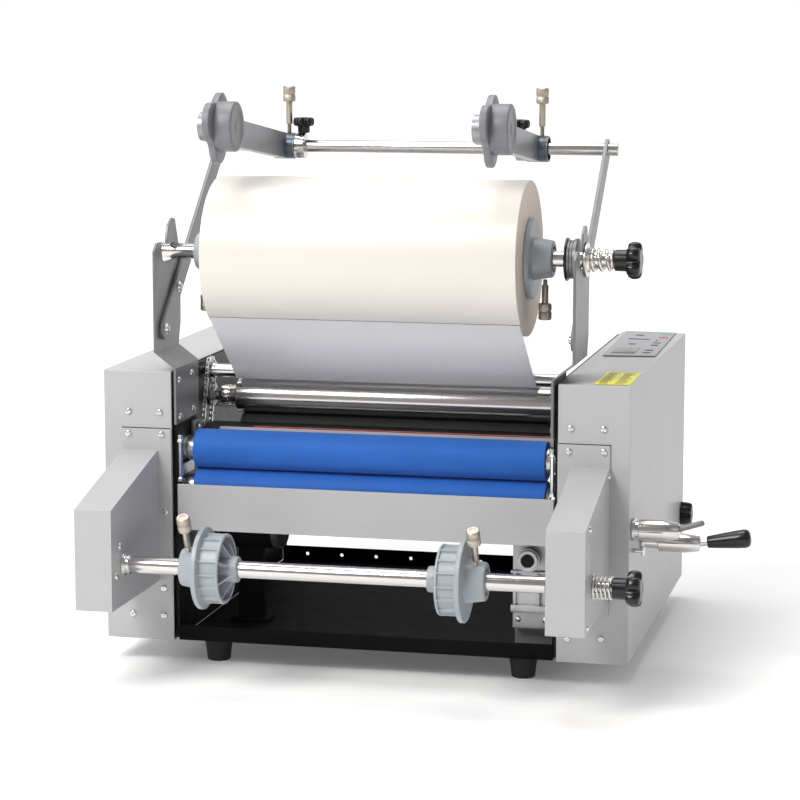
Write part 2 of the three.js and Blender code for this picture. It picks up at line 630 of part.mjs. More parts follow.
// ---- assembly -----------------------------------------------------------------------------------
place('base_tray', baseTray(), LOOK.tray);
for (const [side, sign] of SIDES) {
  ['front', 'rear'].forEach((end, i) => {
    place(`foot_${end}_${side}`, foot(), LOOK.rubber).position.set(sign * FOOT.x, FOOT.y[i], 0);
  });
  place(`housing_${side}`, housing(sign), LOOK.housing);
  place(`side_plate_${side}`, sidePlate(sign), LOOK.tray);
  place(`roll_bracket_${side}`, rollBracket(sign), LOOK.bracket);
  place(`rod_arm_${side}`, rodArm(sign), LOOK.bracket);
  place(`winder_arm_${side}`, winderArm(sign), LOOK.housing);
}
place('front_beam', frontBeam(), LOOK.housing);
place('nip_cover', nipCover(), LOOK.tray);
place('feed_table', feedTable(), LOOK.housing);
place('gearbox', gearbox(), LOOK.cast);
place('motor', motor(), LOOK.motor);

for (const [end, axis] of [['upper', UPPER_PULL], ['lower', LOWER_PULL]]) {
  place(`${end}_pull_sleeve`, pullSleeve(axis), LOOK.silicone);
  place(`${end}_pull_shaft`, pullShaft(axis), LOOK.steel);
}
place('heat_roller', heatRoller(), LOOK.chrome);
place('rubber_roller', rubberRoller(), LOOK.rubber);
place('rubber_shaft', rubberShaft(), LOOK.steel);
place('guide_bar', sprocketShaft(GUIDE, GUIDE.radius, GUIDE.stub, 200), LOOK.chrome);
place('drive_shaft', sprocketShaft(DRIVE, DRIVE.radius, DRIVE.radius - 0.5, 200), LOOK.steel);
place('drive_chain', driveChain(), LOOK.steel);

place('top_rod', topRod(), LOOK.chrome);
place('film_roll', filmRoll(), LOOK.film);
place('film_web', filmWeb(), LOOK.film);

// Supply shaft: long bar with a turned-down end for the friction clutch, spring and knob.
const CLUTCH = { start: 214, end: 227.2 };
place('supply_shaft', turned([
  [-246, SUPPLY.radius - 1], [-245, SUPPLY.radius], [240, SUPPLY.radius], [240, 6], [272, 6],
], { ...SUPPLY, sides: 22 }), LOOK.chrome);
place('supply_clutch', turned([
  [CLUTCH.start, 22], [CLUTCH.start + 2, 23.5], [CLUTCH.start + 5, 23.5], [CLUTCH.start + 5, 21],
  [CLUTCH.start + 7, 21], [CLUTCH.start + 7, 23], [CLUTCH.end, 23],
], { ...SUPPLY, bore: SUPPLY.radius + SHAFT_PLAY, sides: 22 }), LOOK.cast);
const supplyKnob = place('supply_knob', starKnob(14, 11.5, 15, 20.5, 6 + SHAFT_PLAY), LOOK.black);
supplyKnob.position.set(267, SUPPLY.y, SUPPLY.z);

// Rewind shaft in its two arms; the clutch spring and the knob sit outside the right arm.
place('winder_shaft', turned([
  [-262, WINDER.radius - 1], [-261, WINDER.radius], [276, WINDER.radius], [276, 6], [302, 6],
], { y: WINDER.y, z: WINDER.z, sides: 22 }), LOOK.chrome);
const winderKnob = place('winder_knob', starKnob(15, 11, 15, 19.3, 6 + SHAFT_PLAY), LOOK.black);
winderKnob.position.set(296, WINDER.y, WINDER.z);

// The four chucks and their thumb screws. The nose points to the middle of the machine.
const CHUCK_GRIP = (CHUCK.lip + CHUCK.hub) / 2 + 1;
function placeChuck(name, screwName, sign, noseX, shaft, tilt) {
  const group = new THREE.Group();
  group.position.set(sign * noseX, shaft.y, shaft.z);
  group.rotation.set(tilt, 0, sign < 0 ? Math.PI : 0);
  laminator.add(group);
  place(name, chuck(shaft.radius), LOOK.chuck, group);
  const screw = place(screwName, thumbScrew(6, 20, 18), LOOK.nickel, group);
  screw.position.set(CHUCK_GRIP, 0, CHUCK.hubRadius + 2.4);
}
const HANG = Math.PI;            // the supply screws hang straight down
const FORWARD = 0.45;            // the rewind screws lean to the front
const FILM_NOSE = FILM_WIDTH / 2 - CHUCK.drum + GAP;
for (const [side, sign] of SIDES) {
  placeChuck(`film_chuck_${side}`, `film_screw_${side}`, sign, FILM_NOSE - sign, SUPPLY, HANG);
  const nose = sign < 0 ? 104 : 102;
  placeChuck(`winder_chuck_${side}`, `winder_screw_${side}`, sign, nose, WINDER, FORWARD);
}

// The right take-up unit is the left one moved along the rod, not mirrored.
for (const [side, sign] of SIDES) {
  const along = sign < 0 ? 0 : TAKEUP_PITCH;
  place(`takeup_arm_${side}`, takeupArm(), LOOK.hub).position.set(along, 0, 0);
  const plug = place(`core_plug_${side}`, corePlug(), LOOK.plug);
  plug.position.set(along, ROD.y - TAKEUP.reach, ROD.z + TAKEUP.rise);
  plug.rotation.x = Math.PI / 2;
  const screw = place(`takeup_screw_${side}`, thumbScrew(10, 26, 18), LOOK.nickel);
  screw.position.set(along - HUB.start - HUB.screw, ROD.y, ROD.z + HUB.radius + GAP);
  const knob = place(`collar_knob_${side}`, starKnob(8, 7, 10, 12.5, 2.5), LOOK.black);
  const collarX = HUB.start - COLLAR.gap - COLLAR.length * 0.75;
  knob.position.set(sign * collarX, ROD.y, ROD.z + COLLAR.radius + GAP);
  knob.rotation.set(0, -Math.PI / 2, 0);
}

const frontNeck = { collar: 12, thin: 9, start: OUTER + 8, wide: 11.3, end: 346, narrow: 8 };
const frontLever = place('front_lever', lever(frontNeck, 0.3, 3.25, 36, 0), LOOK.chrome);
frontLever.position.set(0, FRONT_LEVER.y, FRONT_LEVER.z);
const rearNeck = { collar: 11, thin: 7, start: 314, wide: 10.5, end: 360, narrow: 8 };
const rearLever = place('rear_lever', lever(rearNeck, 0.14, 4, 16, 48), LOOK.chrome);
rearLever.position.set(0, REAR_LEVER.y, REAR_LEVER.z);

const sideKnob = place('side_knob', join(
  starKnob(3, 8, 11, 14.5, 2),
  turned([[-12, 4], [8, 4]], { sides: 16 }),
), LOOK.black);
sideKnob.position.set(OUTER + GAP, SIDE_KNOB.y, SIDE_KNOB.z);

place('control_panel', controlPanel(), LOOK.cast);
place('power_inlet', powerInlet(), LOOK.black);
const rocker = place('power_switch', powerSwitch(), LOOK.black);
rocker.position.set(256, HOUSING_DEPTH, 102);

// Centre the machine over its footprint.
const machine = new THREE.Group();
machine.add(laminator);
laminator.updateMatrixWorld(true);
const bounds = new THREE.Box3().setFromObject(laminator, true);
const middle = bounds.getCenter(new THREE.Vector3());
laminator.position.set(-middle.x, -middle.y, -bounds.min.z);

export default machine;
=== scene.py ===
"""Desktop roll laminator: the looks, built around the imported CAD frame. Blender 4.5, metres."""
import math
import random

import bmesh
import bpy
from mathutils import Matrix, Vector


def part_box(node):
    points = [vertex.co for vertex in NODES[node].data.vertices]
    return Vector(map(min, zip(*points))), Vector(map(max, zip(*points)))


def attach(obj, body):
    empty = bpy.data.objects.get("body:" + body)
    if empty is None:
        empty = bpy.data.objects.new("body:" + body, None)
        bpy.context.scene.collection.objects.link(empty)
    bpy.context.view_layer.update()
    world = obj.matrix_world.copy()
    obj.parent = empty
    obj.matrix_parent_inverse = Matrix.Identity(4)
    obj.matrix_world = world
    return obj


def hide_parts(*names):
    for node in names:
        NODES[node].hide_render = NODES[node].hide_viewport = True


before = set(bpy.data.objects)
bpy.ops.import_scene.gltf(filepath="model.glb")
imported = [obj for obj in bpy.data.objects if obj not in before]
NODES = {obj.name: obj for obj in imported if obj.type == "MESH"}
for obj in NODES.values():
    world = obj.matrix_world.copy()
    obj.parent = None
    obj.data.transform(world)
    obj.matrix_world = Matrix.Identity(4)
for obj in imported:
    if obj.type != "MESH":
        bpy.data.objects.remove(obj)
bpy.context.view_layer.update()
MM = 0.001
TAU = 2 * math.pi

# ---- driving dimensions, in mm from the machine's own origin, and degrees -------------------------
CAMERA_PLACE = (688.95, -2775.5, 737.95)
CAMERA_LENS, CAMERA_DOWN, CAMERA_TURN = 119.77, 8.58, 13.1
HOUSING_SIDE, HOUSING_TOP = 295.2, 331.3
BRACKET_SIDE = 209.2
UPPER_AXIS, LOWER_AXIS, HEAT_AXIS = (30.2, 241.8), (30.2, 198.1), (132, 287.3)
FRONT_LEVER, REAR_LEVER = (20, 173), (95, 145)
SUPPLY_RADIUS, REWIND_RADIUS, ROD_RADIUS = 8.7, 9.06, 7.2
OUTWARD = {"left": -1, "right": 1}
FILM_NOSE = {"left": -140.3, "right": 138.3}
REWIND_NOSE = {"left": -104, "right": 102}
CHUCK_SCREW = (52.5, 22.4)        # a chuck's thumb screw: from the nose, from the shaft's axis
PLUG_REACH, PLUG_RISE = 262, 34.5
PLUG_PITCH = {"left": 0, "right": 300}
CHAIN_X, CHAIN_RADIUS, CHAIN_PINS = -205.8, 12.2 + 1.9, 56

# ---- places, all from the frame -----------------------------------------------------------------
# The machine's own origin: middle plane, front of the housings, table top.
LEFT_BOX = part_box("housing_left")
RIGHT_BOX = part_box("housing_right")
ORIGIN = Vector(((LEFT_BOX[0].x + RIGHT_BOX[1].x) / 2, LEFT_BOX[0].y, 0))


def at(x, y, z):
    """A point given in millimetres from the machine's own origin."""
    return ORIGIN + Vector((x, y, z)) * MM


def box_mm(node):
    """A node's lowest and highest corner in millimetres from the machine's own origin."""
    low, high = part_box(node)
    return (low - ORIGIN) / MM, (high - ORIGIN) / MM


def axis_mm(node):
    """(y, z) of the axis of a round node that lies along X."""
    low, high = box_mm(node)
    return (low.y + high.y) / 2, (low.z + high.z) / 2


# ---- camera -------------------------------------------------------------------------------------
def make_camera():
    data = bpy.data.cameras.new("camera")
    data.lens = CAMERA_LENS
    data.sensor_width = 36
    camera = bpy.data.objects.new("camera", data)
    camera.location = at(*CAMERA_PLACE)
    camera.rotation_euler = (math.radians(90 - CAMERA_DOWN), 0, math.radians(CAMERA_TURN))
    bpy.context.collection.objects.link(camera)
    bpy.context.scene.camera = camera


# ---- materials ----------------------------------------------------------------------------------
def new_nodes(name):
    """A material with its node tree and its shader."""
    material = bpy.data.materials.new(name)
    material.use_nodes = True
    tree = material.node_tree
    return material, tree, tree.nodes["Principled BSDF"]


def set_inputs(node, **values):
    """Sets a node's inputs; a name's underscores stand for blanks."""
    for name, value in values.items():
        node.inputs[name.replace("_", " ")].default_value = value


def add_node(tree, kind, **values):
    node = tree.nodes.new("ShaderNode" + kind)
    set_inputs(node, **values)
    return node


def link(tree, source, output, target, entry):
    tree.links.new(source.outputs[output], target.inputs[entry])


def noise(tree, scale, stretch=(1, 1, 1), detail=3.0):
    """A noise texture in the piece's own coordinates; stretch squeezes it along X, Y, Z."""
    place = add_node(tree, "TexCoord")
    mapping = add_node(tree, "Mapping", Scale=stretch)
    texture = add_node(tree, "TexNoise", Scale=scale, Detail=detail)
    link(tree, place, "Object", mapping, "Vector")
    link(tree, mapping, "Vector", texture, "Vector")
    return texture


def finish_material(name, color, roughness, metallic=0.0, *, grain=(900, 0.15, 0.0002),
                    stretch=(1, 1, 1), tint=0.04, tint_scale=14, rough_spread=0.08,
                    rough_scale=60, coat=0.0, sheen=0.0, specular=0.5):
    """A painted, moulded or metal surface: a fine grain in the bump, slow changes of tone and of
    gloss, and the same colour otherwise. grain is (scale, strength, height in metres)."""
    material, tree, shader = new_nodes(name)
    set_inputs(shader, Metallic=metallic, Coat_Weight=coat, Coat_Roughness=0.12,
               Sheen_Weight=sheen, Specular_IOR_Level=specular)
    ramp = add_node(tree, "ValToRGB")
    dark, light = ramp.color_ramp.elements
    dark.position, light.position = 0.3, 0.7
    dark.color = (*[c * (1 - tint) for c in color], 1)
    light.color = (*[min(1, c * (1 + tint)) for c in color], 1)
    gloss = add_node(tree, "MapRange", To_Min=max(0.02, roughness - rough_spread),
                     To_Max=roughness + rough_spread)
    bump = add_node(tree, "Bump", Strength=grain[1], Distance=grain[2])
    link(tree, noise(tree, tint_scale, detail=5), "Fac", ramp, "Fac")
    link(tree, ramp, "Color", shader, "Base Color")
    link(tree, noise(tree, rough_scale, stretch), "Fac", gloss, "Value")
    link(tree, gloss, "Result", shader, "Roughness")
    link(tree, noise(tree, grain[0], stretch, detail=2), "Fac", bump, "Height")
    link(tree, bump, "Normal", shader, "Normal")
    return material


def wound_ends(name, color, groove):
    """The end of a film roll: fine rings round the X axis through the roll, a little uneven."""
    material, tree, shader = new_nodes(name)
    shader.inputs["Roughness"].default_value = 0.55
    place = add_node(tree, "TexCoord")
    rings = add_node(tree, "TexWave", Scale=260, Distortion=0.6, Detail=3, Detail_Scale=6)
    rings.wave_type = "RINGS"
    rings.rings_direction = "X"
    ramp = add_node(tree, "ValToRGB")
    ramp.color_ramp.elements[0].color = (*groove, 1)
    ramp.color_ramp.elements[1].color = (*color, 1)
    bump = add_node(tree, "Bump", Strength=0.25, Distance=0.0004)
    link(tree, place, "Object", rings, "Vector")
    link(tree, rings, "Fac", ramp, "Fac")
    link(tree, ramp, "Color", shader, "Base Color")
    link(tree, rings, "Fac", bump, "Height")
    link(tree, bump, "Normal", shader, "Normal")
    return material


def clear_film(name, color, roughness, transmission):
    """Milky film that lets some light through."""
    material = finish_material(name, color, roughness, grain=(120, 0.05, 0.0003),
                               stretch=(1, 6, 6), tint=0.01, rough_spread=0.04, specular=0.4)
    set_inputs(material.node_tree.nodes["Principled BSDF"], Transmission_Weight=transmission,
               IOR=1.15)
    return material


LOOK = {
    "housing": finish_material("housing_paint", (0.44, 0.445, 0.455), 0.42, grain=(1100, 0.22, 0.0002),
                               tint=0.015, rough_spread=0.05, coat=0.15),
    "arm_grey": finish_material("winder_arm_paint", (0.43, 0.435, 0.45), 0.42,
                                grain=(1100, 0.22, 0.0002), tint=0.015, rough_spread=0.05, coat=0.1),
    "bracket": finish_material("bracket_paint", (0.175, 0.18, 0.19), 0.38, 0.25,
                               grain=(1300, 0.2, 0.0002), tint=0.03, coat=0.1),
    "black_paint": finish_material("black_paint", (0.006, 0.006, 0.007), 0.38,
                                   grain=(1200, 0.3, 0.0002), tint=0.15, specular=0.22),
    "tray": finish_material("tray_paint", (0.006, 0.006, 0.0065), 0.7, grain=(1200, 0.3, 0.0002),
                            tint=0.15, specular=0.06),
    "steel": finish_material("steel", (0.62, 0.62, 0.63), 0.28, 1.0, grain=(60, 0.1, 0.0001),
                             stretch=(60, 1, 1), rough_scale=30, tint=0.05),
    "chrome": finish_material("chrome", (0.66, 0.645, 0.63), 0.17, 1.0, grain=(40, 0.03, 0.0001),
                              stretch=(50, 1, 1), rough_scale=16, rough_spread=0.05, tint=0.02),
    "nickel": finish_material("nickel", (0.52, 0.465, 0.40), 0.36, 1.0, grain=(700, 0.1, 0.0001),
                              tint=0.05),
    "zinc": finish_material("zinc_screws", (0.74, 0.73, 0.70), 0.24, 1.0, grain=(600, 0.1, 0.0001),
                            tint=0.08, tint_scale=200),
    "silicone": finish_material("silicone", (0.016, 0.115, 0.46), 0.62, grain=(1500, 0.3, 0.0002),
                                tint=0.06, tint_scale=30, rough_spread=0.06, sheen=0.12,
                                specular=0.25),
    "rubber": finish_material("black_rubber", (0.014, 0.014, 0.015), 0.75, grain=(700, 0.3, 0.0003),
                              tint=0.2, tint_scale=60),
    "black": finish_material("black_plastic", (0.008, 0.008, 0.009), 0.25, grain=(900, 0.1, 0.0002),
                             tint=0.2, rough_spread=0.08, coat=0.08, specular=0.4),
    "chuck": finish_material("chuck_plastic", (0.34, 0.375, 0.405), 0.42, grain=(800, 0.15, 0.0002),
                             tint=0.04, tint_scale=40, coat=0.1),
    "plug": finish_material("plug_plastic", (0.185, 0.19, 0.205), 0.42, grain=(800, 0.2, 0.0002),
                            tint=0.04, tint_scale=40),
    "arm": finish_material("arm_paint", (0.30, 0.31, 0.33), 0.34, 0.5, grain=(900, 0.15, 0.0002),
                           tint=0.04, tint_scale=40),
    "hub": finish_material("hub_paint", (0.11, 0.14, 0.175), 0.32, 0.35, grain=(900, 0.15, 0.0002),
                           tint=0.05, tint_scale=40, coat=0.2),
    "film": finish_material("film_roll_surface", (0.71, 0.68, 0.635), 0.3, grain=(60, 0.04, 0.0004),
                            stretch=(0.3, 4, 4), tint=0.012, tint_scale=5, rough_spread=0.05,
                            sheen=0.1),
    "film_end": wound_ends("film_roll_end", (0.80, 0.71, 0.62), (0.71, 0.61, 0.52)),
    "web": clear_film("film_web", (0.93, 0.93, 0.955), 0.25, 0.25),
    "card": finish_material("cardboard", (0.36, 0.27, 0.19), 0.8, grain=(500, 0.4, 0.0003),
                            tint=0.15, tint_scale=90),
    "cast": finish_material("cast_metal", (0.50, 0.505, 0.51), 0.45, 0.9, grain=(420, 0.5, 0.0005),
                            tint=0.08, tint_scale=50),
    "motor": finish_material("motor_paint", (0.085, 0.07, 0.06), 0.45, 0.4, grain=(500, 0.2, 0.0003),
                             tint=0.1, tint_scale=50),
    "panel": finish_material("panel_film", (0.27, 0.275, 0.29), 0.4, grain=(1500, 0.12, 0.0001),
                             tint=0.02, coat=0.2),
    "display": finish_material("display_glass", (0.13, 0.14, 0.145), 0.3,
                               grain=(300, 0.02, 0.0001), tint=0.08, coat=0.1),
    "key": finish_material("panel_keys", (0.10, 0.115, 0.135), 0.4, grain=(900, 0.1, 0.0001)),
    "label": finish_material("yellow_label", (0.80, 0.76, 0.05), 0.42, grain=(900, 0.08, 0.0001),
                             tint=0.03),
    "ink": finish_material("label_ink", (0.09, 0.085, 0.03), 0.5, grain=(900, 0.05, 0.0001)),
    "red_ink": finish_material("label_red_ink", (0.62, 0.16, 0.02), 0.5, grain=(900, 0.05, 0.0001)),
    "green": finish_material("green_lamp", (0.03, 0.36, 0.20), 0.3, grain=(900, 0.05, 0.0001)),
    "red": finish_material("red_lamp", (0.55, 0.03, 0.03), 0.3, grain=(900, 0.05, 0.0001)),
    "felt": finish_material("red_felt", (0.30, 0.012, 0.012), 0.9, grain=(900, 0.8, 0.0006),
                            tint=0.2, tint_scale=200, sheen=0.5),
    # near black: painted shade in the flange seams and the gearbox bore, and also the right rewind
    # bush
    "dark": finish_material("black_and_painted_shade", (0.006, 0.006, 0.006), 0.8, grain=(900, 0.1, 0.0001)),
}


# ---- mesh building ------------------------------------------------------------------------------
def add_mesh(name, bm, look, body, stands_for=()):
    """Makes the piece, smooth with crisp edges, and lets it ride on its body. stands_for names
    the CAD nodes that it takes the place of."""
    bmesh.ops.remove_doubles(bm, verts=bm.verts, dist=1e-6)
    bmesh.ops.recalc_face_normals(bm, faces=bm.faces)
    data = bpy.data.meshes.new(name)
    bm.to_mesh(data)
    bm.free()
    data.materials.append(LOOK[look])
    data.shade_smooth()
    piece = bpy.data.objects.new(name, data)
    bpy.context.collection.objects.link(piece)
    data.set_sharp_from_angle(angle=math.radians(38))
    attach(piece, body)
    if stands_for:
        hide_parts(*stands_for)
    return piece


def frame_of(direction):
    """A rotation that turns +Z into the given direction."""
    return Vector(direction).normalized().to_track_quat("Z", "Y").to_matrix().to_4x4()


X_AXIS = Vector((1, 0, 0))


def loft(bm, rings, origin, direction=X_AXIS, sides=64, closed=False, phase=0.0):
    """Adds rings of points round an axis. A ring is (height, radius) in mm; the radius may be a
    function of the angle. A radius of 0 is a point on the axis. closed joins the last ring to the
    first, for a piece with a bore."""
    turn = Matrix.Translation(origin) @ frame_of(direction)
    made = []
    for height, radius in rings:
        if radius == 0:
            made.append([bm.verts.new(turn @ Vector((0, 0, height * MM)))])
            continue
        ring = []
        for i in range(sides):
            angle = TAU * i / sides + phase
            r = radius(angle) if callable(radius) else radius
            point = Vector((r * math.cos(angle), r * math.sin(angle), height)) * MM
            ring.append(bm.verts.new(turn @ point))
        made.append(ring)
    pairs = list(zip(made, made[1:]))
    if closed:
        pairs.append((made[-1], made[0]))
    for low, high in pairs:
        for i in range(sides):
            j = (i + 1) % sides
            if len(low) == 1 and len(high) == 1:
                break
            if len(low) == 1:
                bm.faces.new((low[0], high[i], high[j]))
            elif len(high) == 1:
                bm.faces.new((low[i], low[j], high[0]))
            else:
                bm.faces.new((low[i], low[j], high[j], high[i]))


def rounded(profile, radius=0.8, steps=3):
    """The profile of (height, radius) points with every inner corner rounded."""
    points = [Vector(p) for p in profile]
    out = [points[0]]
    for before, corner, after in zip(points, points[1:], points[2:]):
        a, b = before - corner, after - corner
        reach = min(radius, a.length * 0.45, b.length * 0.45)
        start, end = corner + a.normalized() * reach, corner + b.normalized() * reach
        for i in range(steps + 1):
            t = i / steps
            out.append((1 - t) ** 2 * start + 2 * t * (1 - t) * corner + t ** 2 * end)
    out.append(points[-1])
    return [(p.x, p.y) for p in out]

def lathe(name, rings, origin, direction, look, body, sides=64, closed=False,
          stands_for=()):
    """A piece made of one loft."""
    bm = bmesh.new()
    loft(bm, rings, origin, direction, sides, closed)
    return add_mesh(name, bm, look, body, stands_for)


def turned(name, profile, node_axis, look, body, *, bore=0.0, sides=72, edge=0.8,
           stands_for=()):
    """A turned piece along X from a profile of (x, radius) in mm, as in the CAD part."""
    ends = [(profile[0][0], bore), *profile, (profile[-1][0], bore)]
    return lathe(name, rounded(ends, edge), at(0, *node_axis), X_AXIS, look, body, sides,
                 bore > 0, stands_for)


def join_outlines(bm, front, back):
    """Closes a solid between two outlines with as many points each."""
    bm.faces.new(front)
    bm.faces.new(back[::-1])
    for k in range(len(front)):
        m = (k + 1) % len(front)
        bm.faces.new((front[k], back[k], back[m], front[m]))


def slab(bm, low, high, bevel=0.0):
    """A box between two corners in mm, with its edges rounded off."""
    made = bmesh.ops.create_cube(bm, size=1)["verts"]
    low, high = Vector(low), Vector(high)
    for v in made:
        v.co = at(*(low + Vector(((v.co[i] + 0.5) * (high - low)[i] for i in range(3)))))
    if bevel:
        edges = list({e for v in made for e in v.link_edges})
        bmesh.ops.bevel(bm, geom=edges, offset=bevel * MM, segments=2, affect="EDGES", profile=0.6)


def block(name, low, high, look, body, bevel=0.5):
    bm = bmesh.new()
    slab(bm, low, high, bevel)
    return add_mesh(name, bm, look, body)


def tube(bm, points, radius, sides=10):
    """A round bar along a list of points in mm, closed at both ends."""
    path = [at(*p) for p in points]
    rings = []
    normal = None
    for i, point in enumerate(path):
        tangent = (path[min(i + 1, len(path) - 1)] - path[max(i - 1, 0)]).normalized()
        if normal is None:
            normal = tangent.orthogonal().normalized()
        normal = (normal - tangent * normal.dot(tangent)).normalized()
        side = tangent.cross(normal)
        rings.append([bm.verts.new(point + (normal * math.cos(TAU * k / sides)
                                            + side * math.sin(TAU * k / sides)) * radius * MM)
                      for k in range(sides)])
    for a, b in zip(rings, rings[1:]):
        for k in range(sides):
            m = (k + 1) % sides
            bm.faces.new((a[k], a[m], b[m], b[k]))
    bm.faces.new(rings[0][::-1])
    bm.faces.new(rings[-1])


# ---- fasteners ----------------------------------------------------------------------------------
def cross(radius):
    """The outline of a cross recess, as a radius over the angle."""
    def outline(angle):
        arm = abs(((angle + TAU / 8) % (TAU / 4)) - TAU / 8)
        return radius if arm < 0.28 else radius * 0.36
    return outline


def add_screw(bm, place, direction, radius=3.4, sides=32):
    """A pan head with a cross recess, standing on the given point in mm."""
    depth = radius * 0.35
    top = radius * 0.62
    profile = [(-0.3, 0), (-0.3, radius), (top * 0.35, radius), (top * 0.72, radius * 0.86),
               (top * 0.93, radius * 0.68), (top, radius * 0.56), (top, cross(radius * 0.5)),
               (top - depth, cross(radius * 0.42)), (top - depth, 0)]
    loft(bm, profile, at(*place), direction, sides, phase=0.4)


def add_washer(bm, place, direction, radius, thickness=0.8):
    rings = rounded([(0, 0), (0, radius), (thickness, radius), (thickness, 0)], 0.25)
    loft(bm, rings, at(*place), direction, 32)


def screws(name, places, direction, body, radius=3.4, washer=0.0):
    bm = bmesh.new()
    lift = Vector(direction).normalized() * 0.8
    for place in places:
        place = Vector(place)
        if washer:
            add_washer(bm, place - lift * 0.2, direction, washer)
            place += lift
        add_screw(bm, place, direction, radius)
    return add_mesh(name, bm, "zinc", body)


# ---- sheet parts that stay as the CAD made them, with worked edges --------------------------------
def dress(node, look, bevel=0.8, angle=35):
    """Gives a CAD node its material and small rounded edges."""
    piece = bpy.data.objects[node]
    piece.data.materials.clear()
    piece.data.materials.append(LOOK[look])
    if "custom_normal" in piece.data.attributes:
        piece.data.attributes.remove(piece.data.attributes["custom_normal"])
    for polygon in piece.data.polygons:
        polygon.use_smooth = True
        polygon.material_index = 0
    weld = piece.modifiers.new("weld", "WELD")
    weld.merge_threshold = 1e-5
    if bevel:
        flatten = piece.modifiers.new("flat", "DECIMATE")
        flatten.decimate_type = "DISSOLVE"
        flatten.angle_limit = math.radians(0.4)
        edges = piece.modifiers.new("edges", "BEVEL")
        edges.width = bevel * MM
        edges.segments = 2
        edges.limit_method = "ANGLE"
        edges.angle_limit = math.radians(angle)
        edges.use_clamp_overlap = True
    normals = piece.modifiers.new("normals", "WEIGHTED_NORMAL")
    normals.keep_sharp = True


def dress_sheet_parts():
    for side in ("left", "right"):
        dress(f"housing_{side}", "housing", 1.2)
        dress(f"side_plate_{side}", "black_paint", 0.5)
        dress(f"roll_bracket_{side}", "bracket", 0.6)
        dress(f"rod_arm_{side}", "bracket", 0.7)
        dress(f"winder_arm_{side}", "arm_grey", 1.0)
        dress(f"takeup_arm_{side}", "arm", 1.4, 30)
    for node, look, bevel in (("base_tray", "tray", 0.6), ("front_beam", "housing", 0.6),
                              ("nip_cover", "black_paint", 0.6), ("feed_table", "housing", 0.6),
                              ("gearbox", "cast", 1.2), ("motor", "tray", 0.8),
                              ("film_web", "web", 0), ("control_panel", "panel", 0.4),
                              ("power_inlet", "black", 0.5), ("power_switch", "black", 0.5)):
        dress(node, look, bevel)


# ---- rollers ------------------------------------------------------------------------------------
def build_rollers():
    for place, carrier in (("upper", "upper_pull_carrier"), ("lower", "lower_pull_roller")):
        axis = axis_mm(f"{place}_pull_sleeve")
        low, high = box_mm(f"{place}_pull_sleeve")
        radius = (high.z - low.z) / 2
        turned(f"{place}_pull_silicone", [(low.x, radius), (high.x, radius)], axis, "silicone",
               f"{place}_pull_roller", bore=14.05, sides=128, edge=1.4,
               stands_for=(f"{place}_pull_sleeve",))
        low, high = box_mm(f"{place}_pull_shaft")
        steps = [(low.x, 7), (-205.9, 7), (-205.9, 14), (205.9, 14), (205.9, 7), (high.x, 7)]
        turned(f"{place}_pull_core", steps, axis, "steel", carrier, edge=0.6,
               stands_for=(f"{place}_pull_shaft",))
    low, high = box_mm("heat_roller")
    profile = [(low.x, 7), (-198, 7), (-198, 11.5), (-188, 11.5), (-188, 10), (-186, 10),
               (-186, 11.5), (-177, 11.5), (-177, 19.5), (196, 19.5), (196, 7), (high.x, 7)]
    turned("heat_roller_body", profile, axis_mm("heat_roller"), "chrome", "heat_roller",
           sides=128, edge=0.9, stands_for=("heat_roller",))
    low, high = box_mm("rubber_roller")
    radius = (high.z - low.z) / 2
    turned("rubber_roller_body", [(low.x, radius), (high.x, radius)], axis_mm("rubber_roller"),
           "rubber", "pressure_roller", bore=9.05, sides=96, edge=1.2,
           stands_for=("rubber_roller",))


def sprocket_tooth(radius, teeth=12, depth=1.5):
    return lambda angle: radius + depth * (0.5 + 0.5 * math.cos(teeth * angle)) ** 2


def build_sprocket_shaft(name, node, radius, right_end):
    """A thin shaft with a hub, a sprocket at its left end and a stub at its right one."""
    hub, tooth = 9, sprocket_tooth(9.4)
    low, high = box_mm(node)
    origin = at(0, *axis_mm(node))
    bm = bmesh.new()
    profile = [(low.x, 0), (low.x, 5), (-204.6, 5), (-204.6, hub), (-199.6, hub),
               (-199.6, radius), (right_end, radius), (right_end, 5), (high.x, 5), (high.x, 0)]
    loft(bm, rounded(profile, 0.5), origin, sides=64)
    loft(bm, [(-207, 5.2), (-207, tooth), (-204.6, tooth), (-204.6, 5.2)], origin, sides=144,
         closed=True)
    add_mesh(name, bm, "chrome", node, (node,))


def build_guides():
    build_sprocket_shaft("guide_bar_rod", "guide_bar", 7.5, 200)
    build_sprocket_shaft("drive_shaft_rod", "drive_shaft", 6, box_mm("drive_shaft")[1].x - 8)


# ---- chain --------------------------------------------------------------------------------------
def chain_path():
    """Points (y, z) round the loop over the guide bar's and the drive shaft's sprocket."""
    radius = CHAIN_RADIUS
    top, bottom = Vector(axis_mm("guide_bar")), Vector(axis_mm("drive_shaft"))
    span = (bottom - top).length
    u = (bottom - top).normalized()
    n = Vector((-u.y, u.x))
    bend = math.pi * radius
    for i in range(CHAIN_PINS):
        s = (2 * span + 2 * bend) * i / CHAIN_PINS
        if s < span:
            yield top + n * radius + u * s
        elif s < span + bend:
            a = (s - span) / radius
            yield bottom + (n * math.cos(a) + u * math.sin(a)) * radius
        elif s < 2 * span + bend:
            yield bottom - n * radius - u * (s - span - bend)
        else:
            a = (s - 2 * span - bend) / radius
            yield top + (-n * math.cos(a) - u * math.sin(a)) * radius


def link_outline(here, there):
    """The waisted outline of a side link between two pins."""
    middle, along = (here + there) / 2, there - here
    length = along.length
    along.normalize()
    across = Vector((-along.y, along.x))
    for k in range(16):
        a = TAU * k / 16
        end = 1 if math.cos(a) > 0 else -1
        x, y = math.cos(a) * 1.9 + end * length / 2, math.sin(a) * 1.9
        waist = 0.8 if abs(x) < length * 0.45 else 1.0
        yield middle + along * x + across * y * waist


